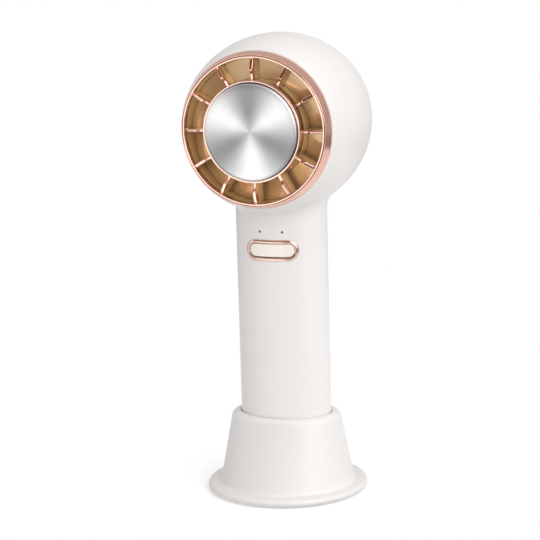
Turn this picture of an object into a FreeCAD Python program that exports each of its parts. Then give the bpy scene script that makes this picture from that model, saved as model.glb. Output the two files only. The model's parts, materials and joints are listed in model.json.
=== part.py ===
import FreeCAD, Part
import math
import os

os.makedirs("parts", exist_ok=True)

# Handheld electric fan with a cold plate, standing in its own base.
# Millimetres, +Z up, the outlet faces -Y.  The origin is the middle of the base,
# on the surface that it stands on.
V = FreeCAD.Vector
X_AXIS, Y_AXIS, Z_AXIS = V(1, 0, 0), V(0, 1, 0), V(0, 0, 1)

# ---------------------------------------------------------------- clearances
SLIP = 0.1            # between pieces that are pushed together and stay
FIT = 0.3             # between pieces that lift apart or swing past each other
RUN = 0.05            # radial play of a shaft or pin in its bore
THREAD = 0.05         # radial play of a screw in its hole

# ---------------------------------------------------------------- head shell
HEAD_Z = 164.2        # height of the head's own axis, which runs along Y
HEAD_R = 38.9         # widest radius of the head
HEAD_HALF = 57.9      # half length of the ellipse that the head is turned from
HEAD_MID = -1.0       # place of the widest section
HEAD_FRONT = -29.3    # front rim of the shell
HEAD_BACK = 27.0      # joint between the shell and the rear cover
WALL = 2.0
NECK_SHARE = 0.38    # radius of the neck, as a share of how far the head stands out

# ---------------------------------------------------------------- handle
HANDLE_A = 20.5       # half width of the oval section
HANDLE_B = 15.0       # half depth
HANDLE_END = 5.0      # lower end of the sleeve, down in the base

# ---------------------------------------------------------------- outlet
BORE_WALL = 1.8       # wall left round the bore in the front rim of the shell
TRIM_STEP = 0.65      # the plated band is this much smaller than the rim
TRIM_L = 4.7          # how far the band stands in front of the rim
TRIM_NOSE_T = 0.45
TRIM_SKIRT = 5.5
RIM_T = 0.75          # thickness of the grille's outer rim
RIM_AHEAD = 0.1       # the grille's outer rim is this far in front of the band
HUB_R = 21.5          # outside of the grille's inner rim
HUB_T = 0.85
HUB_AHEAD = 2.0       # the inner rim is this far in front of the outer one
BAR_L = 3.6           # depth of a bar behind the front of the outer rim
BAR_T = 1.35          # outer, climbing part
BAR_NECK_T = 1.0      # inner part, behind the crest
BAR_ROUND = 0.3       # on the front edges of a bar
BAR_CREST = 0.5       # the crest of a bar is this far in front of the outer rim
BAR_DIP = 0.9         # and these far behind it are its inner end
BAR_FOOT = 1.15       # and its outer end
VANES = 12
VANE_T = 1.0
VANE_L = 5.5          # straight part of a guide vane
FLOOR_DROP = 3.7      # slope of the part that turns aside
FLOOR_SWEEP = 34.0    # degrees, so that it runs on behind the next vane
GUIDE_TAIL = 1.3      # walls behind the vanes

# ---------------------------------------------------------------- cold stack
PLATE_AHEAD = 1.6     # the plate is this far in front of the inner rim
PLATE_GAP = 0.35      # dark gap between the plate and the inner rim
PLATE_T = 2.1
PLATE_BEVEL = 0.65
PAD_T = 0.5
PELTIER_LESS = 1.5    # the module's side is this much less than the radius of the inner rim
PELTIER_T = 3.2
SINK_BASE_T = 4.0
SINK_FIN_L = 13.0
SINK_FINS = 18
SINK_FIN_T = 0.9
SHELF_T = 1.4

# ---------------------------------------------------------------- impeller and motor
TIP_GAP = 0.8
BLADES = 7
BLADE_T = 1.5
HUB_CAP_R = 12.8
HUB_CAP_L = 12.5      # length of the impeller's hub
SHAFT_R = 1.0
BEARING_R = 2.5
BEARING_W = 2.3
TUBE_T = 0.9
STATOR_R = 9.8
STATOR_TEETH = 9
STATOR_L = 5.0
MAGNET_T = 1.3
CUP_T = 0.6
AIR_GAP = 0.35
MOUNT_Y = 11.0        # front face of the motor mount
MOUNT_T = 2.0
STRUTS = 5
EARS = 4

# ---------------------------------------------------------------- rear cover
COVER_BACK = 37.7
COVER_T = 1.8
COVER_CORNER = 7.5
COVER_SKIRT = 4.0
SLOTS = 26
SLOT_IN = 10.5
SLOT_PAST_FLAT = 1.7  # how far the slots run on to the rounded edge

# ---------------------------------------------------------------- button and indicators
KEY_BELOW = 15.2      # middle of the key, below the lowest point of the head
FRAME_W, FRAME_H = 24.0, 9.3
KEY_W, KEY_H = 21.0, 6.3
FRAME_PROUD = 0.7
FRAME_ROUND = 0.55
FRAME_SKIRT_T = 0.9
KEY_PROUD = 0.45
KEY_ROUND = 0.6
KEY_T = 2.25
KEY_GAP = 0.25
KEY_POST_X = 6.5
PIVOT_R = 0.6
PIVOT_DEPTH = 1.9     # of the key's pivot behind the surface
LAMP_X = 5.1
LAMP_ABOVE = 8.1      # above the middle of the key
LAMP_R = 0.45

# ---------------------------------------------------------------- handle inside
CELL_R = 9.2
CELL_L = 65.0
CELL_Z = 53.6         # bottom of the cell
CELL_INSET = 3.6      # of the cell behind the rear surface, foam strip and wall included
RAIL_T = 1.8
PLATE_Z = 10.0        # underside of the chassis foot
PCB_T = 1.2
PCB_GAP = 0.6         # between the board and the cell
PCB_H = 34.0
SWITCH_SIDE, SWITCH_T = 4.5, 1.6
USB_Z = 46.1
USB_W, USB_H, USB_L = 8.94, 3.2, 7.4
CAP_T = 2.2
CAP_SCREW_X = 9.0

# ---------------------------------------------------------------- base
BASE_R = 35.7
BASE_FLANGE_T = 3.1
BASE_LIFT = 0.5       # flange above the surface, on the foot pad
CONE_A0, CONE_B0 = 30.1, 28.8    # oval of the cone where it leaves the flange
LIP_W, LIP_D = 3.95, 4.0         # width of its top edge round the handle, aside and in depth
CONE_TOP = 35.1
LIP_R = 3.0
BASE_WALL = 2.0
SOCKET_FLOOR_T = 1.5
BASE_RIBS = 8
BASE_PLATE_R = 32.6
BASE_PLATE_T = 1.6
PAD_IN, PAD_OUT, FOOT_T = 24.0, 31.0, 1.0


# ================================================================ shape helpers
def wire_through(points, start, moves):
    """Closed outline: a move is a point (line) or a pair (arc through, end)."""
    edges = []
    here = start
    for move in list(moves) + [start]:
        if isinstance(move[0], tuple):
            middle, end = move
            arc = Part.Arc(points(*here), points(*middle), points(*end))
            edges.append(arc.toShape())
        else:
            end = move
            if math.dist(here, end) < 1e-7:
                continue
            edges.append(Part.LineSegment(points(*here), points(*end)).toShape())
        here = end
    return Part.Wire(edges)


def turned(start, *moves):
    """Solid of revolution about the head's axis, from (radius, y) points."""
    wire = wire_through(lambda r, y: V(r, y, HEAD_Z), start, moves)
    return Part.Face(wire).revolve(V(0, 0, HEAD_Z), Y_AXIS, 360)


def turned_upright(start, *moves):
    """Solid of revolution about Z, from (radius, z) points."""
    wire = wire_through(lambda r, z: V(r, 0, z), start, moves)
    return Part.Face(wire).revolve(V(0, 0, 0), Z_AXIS, 360)


def ring(r_in, r_out, y0, y1):
    return turned((r_in, y0), (r_out, y0), (r_out, y1), (r_in, y1))


def disc(r, y0, y1):
    return turned((0, y0), (r, y0), (r, y1), (0, y1))


def rod(r, x, y0, y1, z):
    """Cylinder along Y."""
    return Part.makeCylinder(r, y1 - y0, V(x, y0, z), Y_AXIS)


def block(x0, x1, y0, y1, z0, z1):
    return Part.makeBox(x1 - x0, y1 - y0, z1 - z0, V(x0, y0, z0))


def round_head(shape, degrees):
    """Copy turned about the head's axis; 0 is up, positive is clockwise from the front."""
    copy = shape.copy()
    copy.rotate(V(0, 0, HEAD_Z), Y_AXIS, degrees)
    return copy


def array_round_head(shape, count, first=0.0):
    return [round_head(shape, first + 360.0 / count * i) for i in range(count)]


def join(shapes):
    fused = shapes[0].multiFuse(list(shapes[1:]))
    return fused.removeSplitter()


def oval(half_w, half_d, z0, z1):
    """Elliptic cylinder about Z."""
    if half_w > half_d:
        curve = Part.Ellipse(V(half_w, 0, z0), V(0, half_d, z0), V(0, 0, z0))
    else:
        curve = Part.Ellipse(V(0, half_d, z0), V(half_w, 0, z0), V(0, 0, z0))
    return Part.Face(Part.Wire(curve.toShape())).extrude(V(0, 0, z1 - z0))


def handle_oval(outset, z0, z1):
    return oval(HANDLE_A + outset, HANDLE_B + outset, z0, z1)


def pill(width, height, y0, y1, z):
    """Upright plate with round ends, centred on x = 0, thick along Y."""
    r = height / 2
    reach = width / 2 - r
    start = (-reach, z + r)
    moves = [(reach, z + r), ((reach + r, z), (reach, z - r)),
             (-reach, z - r), ((-reach - r, z), start)]
    wire = wire_through(lambda x, h: V(x, y0, h), start, moves)
    return Part.Face(wire).extrude(V(0, y1 - y0, 0))


def fillet_where(shape, radius, test):
    edges = [edge for edge in shape.Edges if test(edge)]
    return shape.makeFillet(radius, edges)


def circle_near(r, y):
    """Edge test: a circle round the head's axis, of about this radius and place."""
    def test(edge):
        box = edge.BoundBox
        flat = abs(box.YMin - y) < 0.02 and abs(box.YMax - y) < 0.02
        return flat and abs(box.XMax - r) < 0.02
    return test


def level_near(z, half_w):
    """Edge test: a level closed curve of about this half width."""
    def test(edge):
        box = edge.BoundBox
        flat = abs(box.ZMin - z) < 0.02 and abs(box.ZMax - z) < 0.02
        return flat and abs(box.XMax - half_w) < 0.05
    return test


def ruled_slab(curve_in, curve_out, thick):
    """Slab between two curves, with its other face `thick` further back along Y."""
    back_in = curve_in.copy()
    back_in.translate(V(0, thick, 0))
    back_out = curve_out.copy()
    back_out.translate(V(0, thick, 0))
    faces = [Part.makeRuledSurface(curve_in, curve_out),
             Part.makeRuledSurface(back_in, back_out),
             Part.makeRuledSurface(curve_in, back_in),
             Part.makeRuledSurface(curve_out, back_out)]
    for end in (0, -1):
        corners = [curve_in.Vertexes[end].Point, curve_out.Vertexes[end].Point,
                   back_out.Vertexes[end].Point, back_in.Vertexes[end].Point]
        faces.append(Part.Face(Part.makePolygon(corners + corners[:1])))
    shell = Part.makeShell(faces)
    shell.sewShape()
    solid = Part.makeSolid(shell)
    if solid.Volume < 0:
        solid.reverse()
    return solid


def sweep_curve(radius, angle0, angle1, y0, y1, bow=0.0, steps=6):
    """Curve round the head's axis that moves from y0 to y1, bowed along Y by `bow`."""
    points = []
    for i in range(steps + 1):
        t = i / steps
        a = math.radians(angle0 + (angle1 - angle0) * t)
        y = y0 + (y1 - y0) * t + bow * 4 * t * (1 - t)
        points.append(V(radius * math.sin(a), y, HEAD_Z + radius * math.cos(a)))
    curve = Part.BSplineCurve()
    curve.interpolate(points)
    return curve.toShape()


# ================================================================ derived sizes
def head_radius(y, inset=0.0):
    """Outer radius of the head at y, or of its inner wall with an inset."""
    return (HEAD_R - inset) * math.sqrt(1 - ((y - HEAD_MID) / (HEAD_HALF - inset)) ** 2)


TRIM_R = head_radius(HEAD_FRONT) - TRIM_STEP
TRIM_FRONT = HEAD_FRONT - TRIM_L
FRONT_BORE = head_radius(HEAD_FRONT) - BORE_WALL
TRIM_SKIRT_IN = FRONT_BORE - SLIP - TRIM_NOSE_T
GRILLE_R = TRIM_SKIRT_IN - SLIP
RIM_FRONT = TRIM_FRONT - RIM_AHEAD
HUB_FRONT = RIM_FRONT - HUB_AHEAD
BAR_BACK = RIM_FRONT + BAR_L
FLOOR_Y = BAR_BACK + VANE_L
GUIDE_BACK = FLOOR_Y + FLOOR_DROP + VANE_T + GUIDE_TAIL
PLATE_FACE = HUB_FRONT - PLATE_AHEAD
PELTIER_SIDE = HUB_R - PELTIER_LESS
PLATE_R = HUB_R - HUB_T - PLATE_GAP
EAR_ROOM = head_radius(MOUNT_Y + MOUNT_T, WALL) - GRILLE_R
EAR_SIZE = 0.419 * EAR_ROOM
BOSS_SIZE = 0.485 * EAR_ROOM
EAR_R = GRILLE_R + 0.5514 * EAR_ROOM
DUCT_IN = GRILLE_R - RIM_T
BLADE_TIP = DUCT_IN - TIP_GAP
HUB_IN = HUB_R - HUB_T
PLATE_BACK = PLATE_FACE + PLATE_T
PELTIER_FRONT = PLATE_BACK + PAD_T
PELTIER_BACK = PELTIER_FRONT + PELTIER_T
SINK_FRONT = PELTIER_BACK + PAD_T
SINK_BACK = SINK_FRONT + SINK_BASE_T
SHELF_IN = HUB_IN - 3.6
SINK_SCREW_R = HUB_IN - 1.9
HUB_CAP_BACK = MOUNT_Y - 4.5
HUB_CAP_FRONT = HUB_CAP_BACK - HUB_CAP_L
STATOR_BACK = MOUNT_Y - 6.0
STATOR_FRONT = STATOR_BACK - STATOR_L
CUP_OUT = HUB_CAP_R - 0.7
CUP_IN = CUP_OUT - CUP_T
MAGNET_IN = STATOR_R + AIR_GAP
MAGNET_OUT = MAGNET_IN + MAGNET_T
TUBE_IN = BEARING_R + 0.02
TUBE_OUT = TUBE_IN + TUBE_T
KEY_Z = HEAD_Z - HEAD_R - KEY_BELOW
LAMP_Z = KEY_Z + LAMP_ABOVE
CELL_Y = HANDLE_B - CELL_INSET - CELL_R
PCB_BACK = CELL_Y - CELL_R - PCB_GAP
SOCKET_A = HANDLE_A + FIT
SOCKET_B = HANDLE_B + FIT
SOCKET_FLOOR = HANDLE_END - FIT
CONE_FOOT = BASE_LIFT + BASE_FLANGE_T
CONE_A1 = HANDLE_A + LIP_W
CONE_B1 = HANDLE_B + LIP_D
NECK_FILLET = NECK_SHARE * (HEAD_R - HANDLE_A)


# ================================================================ housing
def head_solid(y0, y1, inset=0.0):
    """Barrel turned from one ellipse arc, cut off square at both ends."""
    half = HEAD_HALF - inset
    middle = V(0, HEAD_MID, HEAD_Z)
    curve = Part.Ellipse(V(0, HEAD_MID - half, HEAD_Z), V(HEAD_R - inset, HEAD_MID, HEAD_Z),
                         middle)
    angles = [math.acos((HEAD_MID - y) / half) for y in (y0, y1)]
    side = Part.ArcOfEllipse(curve, angles[0], angles[1]).toShape()
    r0 = head_radius(y0, inset)
    r1 = head_radius(y1, inset)
    edges = [Part.LineSegment(V(0, y0, HEAD_Z), V(r0, y0, HEAD_Z)).toShape(), side,
             Part.LineSegment(V(r1, y1, HEAD_Z), V(0, y1, HEAD_Z)).toShape(),
             Part.LineSegment(V(0, y1, HEAD_Z), V(0, y0, HEAD_Z)).toShape()]
    face = Part.Face(Part.Wire(edges))
    return face.revolve(V(0, 0, HEAD_Z), Y_AXIS, 360)


def mount_bosses():
    """Four screw bosses inside the head that carry the motor mount."""
    length = 9.0
    r = BOSS_SIZE
    axis_z = HEAD_Z + EAR_R
    boss = rod(r, 0, MOUNT_Y - length, MOUNT_Y, axis_z)
    web = block(-r, r, MOUNT_Y - length, MOUNT_Y, axis_z, HEAD_Z + HEAD_R)
    return array_round_head(boss.fuse(web), EARS, 45)


def main_housing():
    head = head_solid(HEAD_FRONT, HEAD_BACK)
    sleeve = handle_oval(0, HANDLE_END, HEAD_Z - HEAD_R * 0.6)
    shell = head.fuse(sleeve)
    neck_top = HEAD_Z - HEAD_R * 0.7
    neck = [edge for edge in shell.Edges
            if edge.BoundBox.ZMax < neck_top and edge.BoundBox.ZMin > HEAD_Z - HEAD_R - 2
            and edge.BoundBox.XLength > HANDLE_A]
    shell = shell.makeFillet(NECK_FILLET, neck)
    shell = fillet_where(shell, 0.6, circle_near(head_radius(HEAD_FRONT), HEAD_FRONT))
    shell = fillet_where(shell, 1.0, level_near(HANDLE_END, HANDLE_A))
    room = head_solid(HEAD_FRONT - 0.01, HEAD_BACK + 0.01, WALL)
    room = room.fuse(handle_oval(-WALL, HANDLE_END - 1, HEAD_Z - HEAD_R * 0.6))
    shell = shell.cut(room)
    bosses = [boss.common(head_solid(HEAD_FRONT, HEAD_BACK, WALL / 2))
              for boss in mount_bosses()]
    shell = join([shell] + bosses)
    cuts = [disc(FRONT_BORE, HEAD_FRONT - 1, HEAD_FRONT + TRIM_SKIRT + 1)]
    cuts += array_round_head(rod(SCREW_R + THREAD, 0, MOUNT_Y - 7.5, MOUNT_Y + 1,
                                 HEAD_Z + EAR_R), EARS, 45)
    skirt_w, skirt_h = frame_skirt()
    cuts.append(pill(skirt_w + 2 * SLIP, skirt_h + 2 * SLIP, -HANDLE_B - 2, -HANDLE_B / 2,
                     KEY_Z))
    for side in (-1, 1):
        cuts.append(rod(LAMP_R + SLIP, side * LAMP_X, -HANDLE_B - 1, -HANDLE_B / 2, LAMP_Z))
    cuts.append(pill(USB_W + 2 * SLIP, USB_H + 2 * SLIP, HANDLE_B / 2, HANDLE_B + 1, USB_Z))
    return shell.cut(Part.makeCompound(cuts))


def cover_bend():
    """Place along the axis where the cover's rounded edge starts."""
    return HEAD_BACK + 3.15


def cover_flat_radius():
    return head_radius(cover_bend()) - COVER_CORNER


def rear_cover():
    """Domed lid with a ring of radial air slots and a skirt inside the housing."""
    y0 = HEAD_BACK + 0.15
    r0 = head_radius(y0)
    bend = cover_bend()
    r_bend = head_radius(bend)
    r_flat = cover_flat_radius()
    edge_y = COVER_BACK - 1.2
    mid = (r_bend - COVER_CORNER * 0.24, bend + (edge_y - bend) * 0.74)
    crown = (r_flat * 0.5, COVER_BACK - 0.3)
    outside = turned((0, y0), (r0, y0), (r_bend, bend), (mid, (r_flat, edge_y)),
                     (crown, (0, COVER_BACK)))
    t = COVER_T
    inside = turned((0, y0 - 1), (r0 - t, y0 - 1), (r_bend - t, bend),
                    ((mid[0] - t * 0.8, mid[1] - t * 0.6), (r_flat - t * 0.4, edge_y - t)),
                    ((crown[0], crown[1] - t), (0, COVER_BACK - t)))
    lid = outside.cut(inside)
    skirt_r = head_radius(HEAD_BACK, WALL) - SLIP
    skirt = turned((skirt_r - 1.6, y0 - COVER_SKIRT), (skirt_r, y0 - COVER_SKIRT),
                   (skirt_r, y0), (r0 - t * 0.7, y0), (r0 - t * 0.7, y0 + 1.2),
                   (skirt_r - 1.6, y0 + 1.2))
    lid = join([lid, skirt])
    return lid.cut(Part.makeCompound(array_round_head(air_slot(), SLOTS)))


def air_slot():
    """Tapered slot that widens outwards, with round ends."""
    w_in, w_out = 0.75, 1.7
    low = HEAD_Z + SLOT_IN
    high = HEAD_Z + cover_flat_radius() + SLOT_PAST_FLAT
    start = (-w_in, low)
    moves = [((0, low - w_in), (w_in, low)), (w_out, high), ((0, high + w_out), (-w_out, high))]
    wire = wire_through(lambda x, z: V(x, HEAD_BACK + 4, z), start, moves)
    return Part.Face(wire).extrude(V(0, COVER_BACK - HEAD_BACK, 0))


# ================================================================ outlet
def trim_ring():
    """Plated band: a flared collar in front of the shell, a skirt in its bore."""
    r_in = TRIM_SKIRT_IN
    r_nose = r_in + TRIM_NOSE_T
    seat = HEAD_FRONT - 0.05
    skirt_end = HEAD_FRONT + TRIM_SKIRT
    nose = TRIM_NOSE_T / 2
    return turned((r_in, skirt_end), (r_in, TRIM_FRONT + nose),
                  ((r_in + nose, TRIM_FRONT), (r_nose, TRIM_FRONT + nose)),
                  (((r_nose + TRIM_R) / 2 + 0.12, (TRIM_FRONT + seat) / 2), (TRIM_R, seat - 0.5)),
                  ((TRIM_R - 0.1, seat - 0.1), (TRIM_R - 0.4, seat)),
                  (r_nose, seat), (r_nose, skirt_end))


def rounded_rim(r_in, r_out, front, back):
    mid = (r_in + r_out) / 2
    bead = (r_out - r_in) / 2
    return turned((r_in, back), (r_in, front + bead), ((mid, front), (r_out, front + bead)),
                  (r_out, back))


def bar_side(thick, moves, start):
    """Slab of a bar, standing over the middle of the head."""
    wire = wire_through(lambda r, y: V(-thick / 2, y, HEAD_Z + r), start, moves)
    return Part.Face(wire).extrude(V(thick, 0, 0))


def grille_bar():
    """Bar across the outlet: it climbs from the outer rim to a crest and dips in an S behind it."""
    r0 = HUB_R - 0.4
    r3 = GRILLE_R - RIM_T + 0.3
    r1 = HUB_R + (r3 - HUB_R) * 0.22
    r2 = HUB_R + (r3 - HUB_R) * 0.47
    dip = RIM_FRONT + BAR_DIP
    crest = RIM_FRONT - BAR_CREST
    foot = RIM_FRONT + BAR_FOOT
    rm = (r1 + r2) / 2
    ym = (dip + crest) / 2
    bow = (r2 - r1) * 0.14
    neck = bar_side(BAR_NECK_T,
                    [(r0, dip), (r1, dip), ((r1 + (rm - r1) * 0.6, (dip + ym) / 2 + bow), (rm, ym)),
                     ((rm + (r2 - rm) * 0.4, (ym + crest) / 2 - bow), (r2, crest)),
                     (r2 + 0.5, crest + 0.3), (r2 + 0.5, BAR_BACK)], (r0, BAR_BACK))
    climb = bar_side(BAR_T, [(r2, crest + 0.25), ((r2 + 0.1, crest + 0.07), (r2 + 0.3, crest + 0.05)),
                             (r3, foot), (r3, BAR_BACK)], (r2, BAR_BACK))
    climb = fillet_where(climb, BAR_ROUND,
                         lambda edge: edge.BoundBox.YMax < foot + 0.01
                         and edge.BoundBox.XLength < 1e-6 and edge.BoundBox.ZLength > 1.0)
    return neck.fuse(climb)


def front_grille():
    outer = rounded_rim(GRILLE_R - RIM_T, GRILLE_R, RIM_FRONT, BAR_BACK)
    inner = rounded_rim(HUB_IN, HUB_R, HUB_FRONT, BAR_BACK)
    return join([outer, inner] + array_round_head(grille_bar(), VANES))


def guide_vane():
    """Straight wall behind a bar that turns aside into a sloping floor blade."""
    r_in = HUB_R - 0.4
    r_out = GRILLE_R - RIM_T + 0.4
    wall = block(-VANE_T / 2, VANE_T / 2, BAR_BACK, FLOOR_Y + VANE_T, HEAD_Z + r_in,
                 HEAD_Z + r_out)
    start = -0.5
    inner = sweep_curve(r_in, start, FLOOR_SWEEP, FLOOR_Y, FLOOR_Y + FLOOR_DROP)
    outer = sweep_curve(r_out, start, FLOOR_SWEEP, FLOOR_Y, FLOOR_Y + FLOOR_DROP)
    return wall.fuse(ruled_slab(inner, outer, VANE_T))


def flow_guide():
    """Two concentric walls joined by the guide vanes, with a shelf for the heat sink."""
    outer = ring(GRILLE_R - RIM_T, GRILLE_R, BAR_BACK, GUIDE_BACK)
    inner = ring(HUB_IN, HUB_R, BAR_BACK, GUIDE_BACK)
    shelf = ring(SHELF_IN, HUB_IN + 0.2, SINK_BACK, SINK_BACK + SHELF_T)
    body = join([outer, inner, shelf] + array_round_head(guide_vane(), VANES))
    hole = rod(SMALL_SCREW_R + THREAD, 0, SINK_BACK - 1, SINK_BACK + SHELF_T + 1,
               HEAD_Z + SINK_SCREW_R)
    return body.cut(Part.makeCompound(array_round_head(hole, 4, 45)))


def fan_duct():
    """Tube round the impeller, between the flow guide and the motor mount."""
    tube = ring(DUCT_IN, GRILLE_R, GUIDE_BACK + 0.05, MOUNT_Y)
    lip = ring(GRILLE_R, GRILLE_R + 1.0, GUIDE_BACK + 0.05, GUIDE_BACK + 2.0)
    return tube.fuse(lip).removeSplitter()


# ================================================================ cold stack
def cold_plate():
    """Spun aluminium disc with a turned chamfer and a shallow rim step."""
    return turned((0, PLATE_FACE), (PLATE_R - PLATE_BEVEL, PLATE_FACE),
                  (PLATE_R, PLATE_FACE + PLATE_BEVEL),
                  (PLATE_R, PLATE_BACK), (0, PLATE_BACK))


def square_plate(side, y0, y1):
    return block(-side / 2, side / 2, y0, y1, HEAD_Z - side / 2, HEAD_Z + side / 2)


def thermal_pads():
    return Part.makeCompound([square_plate(PELTIER_SIDE, PLATE_BACK, PELTIER_FRONT),
                              square_plate(PELTIER_SIDE, PELTIER_BACK, SINK_FRONT)])


def peltier_module():
    """Two ceramic plates with a grid of semiconductor legs between them."""
    ceramic = 0.8
    legs = 5
    pitch = (PELTIER_SIDE - 2) / legs
    half = pitch * 0.32
    pieces = [square_plate(PELTIER_SIDE, PELTIER_FRONT, PELTIER_FRONT + ceramic),
              square_plate(PELTIER_SIDE, PELTIER_BACK - ceramic, PELTIER_BACK)]
    for i in range(legs):
        for j in range(legs):
            x = (i - (legs - 1) / 2) * pitch
            z = HEAD_Z + (j - (legs - 1) / 2) * pitch
            pieces.append(block(x - half, x + half, PELTIER_FRONT + ceramic,
                                PELTIER_BACK - ceramic, z - half, z + half))
    return join(pieces)


def foam_ring():
    """Insulating foam round the module."""
    rim = disc(HUB_IN - 2.9, PLATE_BACK + SLIP, SINK_FRONT - SLIP)
    return rim.cut(square_plate(PELTIER_SIDE + 2 * FIT, PLATE_BACK, SINK_FRONT))


def plate_frame():
    """Black ring that stands on the heat sink and carries the cold plate."""
    return ring(HUB_IN - 2.7, HUB_IN - 0.25, PLATE_BACK, SINK_FRONT)


def heat_sink():
    base = disc(HUB_IN - 0.25, SINK_FRONT, SINK_BACK)
    fin = block(-SINK_FIN_T / 2, SINK_FIN_T / 2, SINK_BACK - 0.2, SINK_BACK + SINK_FIN_L,
                HEAD_Z + 5.0, HEAD_Z + SHELF_IN - 0.3)
    core = disc(6.0, SINK_BACK - 0.2, SINK_BACK + SINK_FIN_L * 0.6)
    sink = join([base, core] + array_round_head(fin, SINK_FINS))
    hole = rod(SMALL_SCREW_R + THREAD, 0, SINK_BACK - 3.0, SINK_BACK + 1,
               HEAD_Z + SINK_SCREW_R)
    return sink.cut(Part.makeCompound(array_round_head(hole, 4, 45)))


# ================================================================ fasteners
SCREW_R = 0.95
SMALL_SCREW_R = 0.8


def screw(r, head_r, head_h, length, recess=True):
    """Pan-head screw along -Y: the underside of its head is at y = 0, on the axis."""
    shank = Part.makeCylinder(r, length, V(0, -length, 0), Y_AXIS)
    head = Part.makeCylinder(head_r, head_h, V(0, 0, 0), Y_AXIS)
    body = shank.fuse(head)
    if recess:
        slot = Part.makeBox(head_r * 1.2, head_h, 0.35, V(-head_r * 0.6, head_h * 0.5, -0.175))
        cross = slot.copy()
        cross.rotate(V(0, 0, 0), Y_AXIS, 90)
        body = body.cut(slot).cut(cross)
    return body


def screws_on_circle(pattern, r, y, count, first):
    moved = pattern.copy()
    moved.translate(V(0, y, HEAD_Z + r))
    return Part.makeCompound(array_round_head(moved, count, first))


def motor_screws():
    return screws_on_circle(screw(SCREW_R, 1.6, 1.2, 7.5), EAR_R, MOUNT_Y + MOUNT_T, EARS, 45)


def sink_screws():
    return screws_on_circle(screw(SMALL_SCREW_R, 1.4, 1.0, 4.0), SINK_SCREW_R,
                            SINK_BACK + SHELF_T, 4, 45)


def cap_screws():
    pattern = screw(SCREW_R, 1.7, 1.2, 8.0)
    pattern.rotate(V(0, 0, 0), X_AXIS, -90)
    pair = []
    for side in (-1, 1):
        copy = pattern.copy()
        copy.translate(V(side * CAP_SCREW_X, 0, HANDLE_END + 1.5))
        pair.append(copy)
    return Part.makeCompound(pair)


# ================================================================ motor and impeller
def motor_mount():
    """Ring with screw ears, five struts and a hub that holds the bearing tube."""
    back = MOUNT_Y + MOUNT_T
    rim = ring(DUCT_IN, GRILLE_R + 0.8, MOUNT_Y, back)
    ear = rod(EAR_SIZE, 0, MOUNT_Y, back, HEAD_Z + EAR_R)
    web = block(-EAR_SIZE, EAR_SIZE, MOUNT_Y, back, HEAD_Z + GRILLE_R - 0.3, HEAD_Z + EAR_R)
    hub = disc(HUB_CAP_R - 0.3, MOUNT_Y, back)
    strut = block(-1.1, 1.1, MOUNT_Y, back + 1.0, HEAD_Z + HUB_CAP_R - 1.5,
                  HEAD_Z + GRILLE_R - 0.5)
    tube = disc(TUBE_OUT, STATOR_FRONT - 0.8, back)
    body = join([rim, hub, tube] + array_round_head(ear, EARS, 45)
                + array_round_head(web, EARS, 45) + array_round_head(strut, STRUTS))
    cuts = [disc(TUBE_IN, STATOR_FRONT - 2, back + 1)]
    hole = rod(SCREW_R + THREAD, 0, MOUNT_Y - 1, back + 1, HEAD_Z + EAR_R)
    cuts += array_round_head(hole, EARS, 45)
    return body.cut(Part.makeCompound(cuts))


def bearing(y0):
    """Small ball bearing drawn as one closed race with a shield groove."""
    body = ring(SHAFT_R + RUN, BEARING_R, y0, y0 + BEARING_W)
    groove = ring(SHAFT_R + 0.5, BEARING_R - 0.5, y0 - 0.1, y0 + 0.15)
    far = ring(SHAFT_R + 0.5, BEARING_R - 0.5, y0 + BEARING_W - 0.15, y0 + BEARING_W + 0.1)
    return body.cut(groove).cut(far)


def bearing_front():
    return bearing(STATOR_FRONT - 0.8)


def bearing_rear():
    return bearing(MOUNT_Y + MOUNT_T - BEARING_W - 0.3)


def stator_core():
    """Laminated core: a ring on the bearing tube with T-shaped teeth."""
    hub = ring(TUBE_OUT + 0.02, TUBE_OUT + 1.6, STATOR_FRONT, STATOR_BACK)
    neck = block(-0.9, 0.9, STATOR_FRONT, STATOR_BACK, HEAD_Z + TUBE_OUT + 1.2,
                 HEAD_Z + STATOR_R - 0.7)
    shoe = ring(STATOR_R - 1.1, STATOR_R, STATOR_FRONT, STATOR_BACK)
    gap = block(-0.55, 0.55, STATOR_FRONT - 1, STATOR_BACK + 1, HEAD_Z + STATOR_R - 2,
                HEAD_Z + STATOR_R + 1)
    shoe = shoe.cut(Part.makeCompound(array_round_head(gap, STATOR_TEETH,
                                                       180.0 / STATOR_TEETH)))
    return join([hub, shoe] + array_round_head(neck, STATOR_TEETH))


def stator_coils():
    """One wound block of copper round each tooth."""
    play = 0.06
    low = HEAD_Z + TUBE_OUT + 2.0
    high = HEAD_Z + STATOR_R - 1.25
    wide = 0.9 + play + 0.55
    outer = block(-wide, wide, STATOR_FRONT - 0.9, STATOR_BACK + 0.9, low, high)
    window = block(-0.9 - play, 0.9 + play, STATOR_FRONT - play, STATOR_BACK + play,
                   low - 1, high + 1)
    return Part.makeCompound(array_round_head(outer.cut(window), STATOR_TEETH))


def motor_board():
    """Driver board behind the stator."""
    y0 = STATOR_BACK + 2.2
    return ring(TUBE_OUT + 0.15, STATOR_R, y0, y0 + 1.0)


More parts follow.
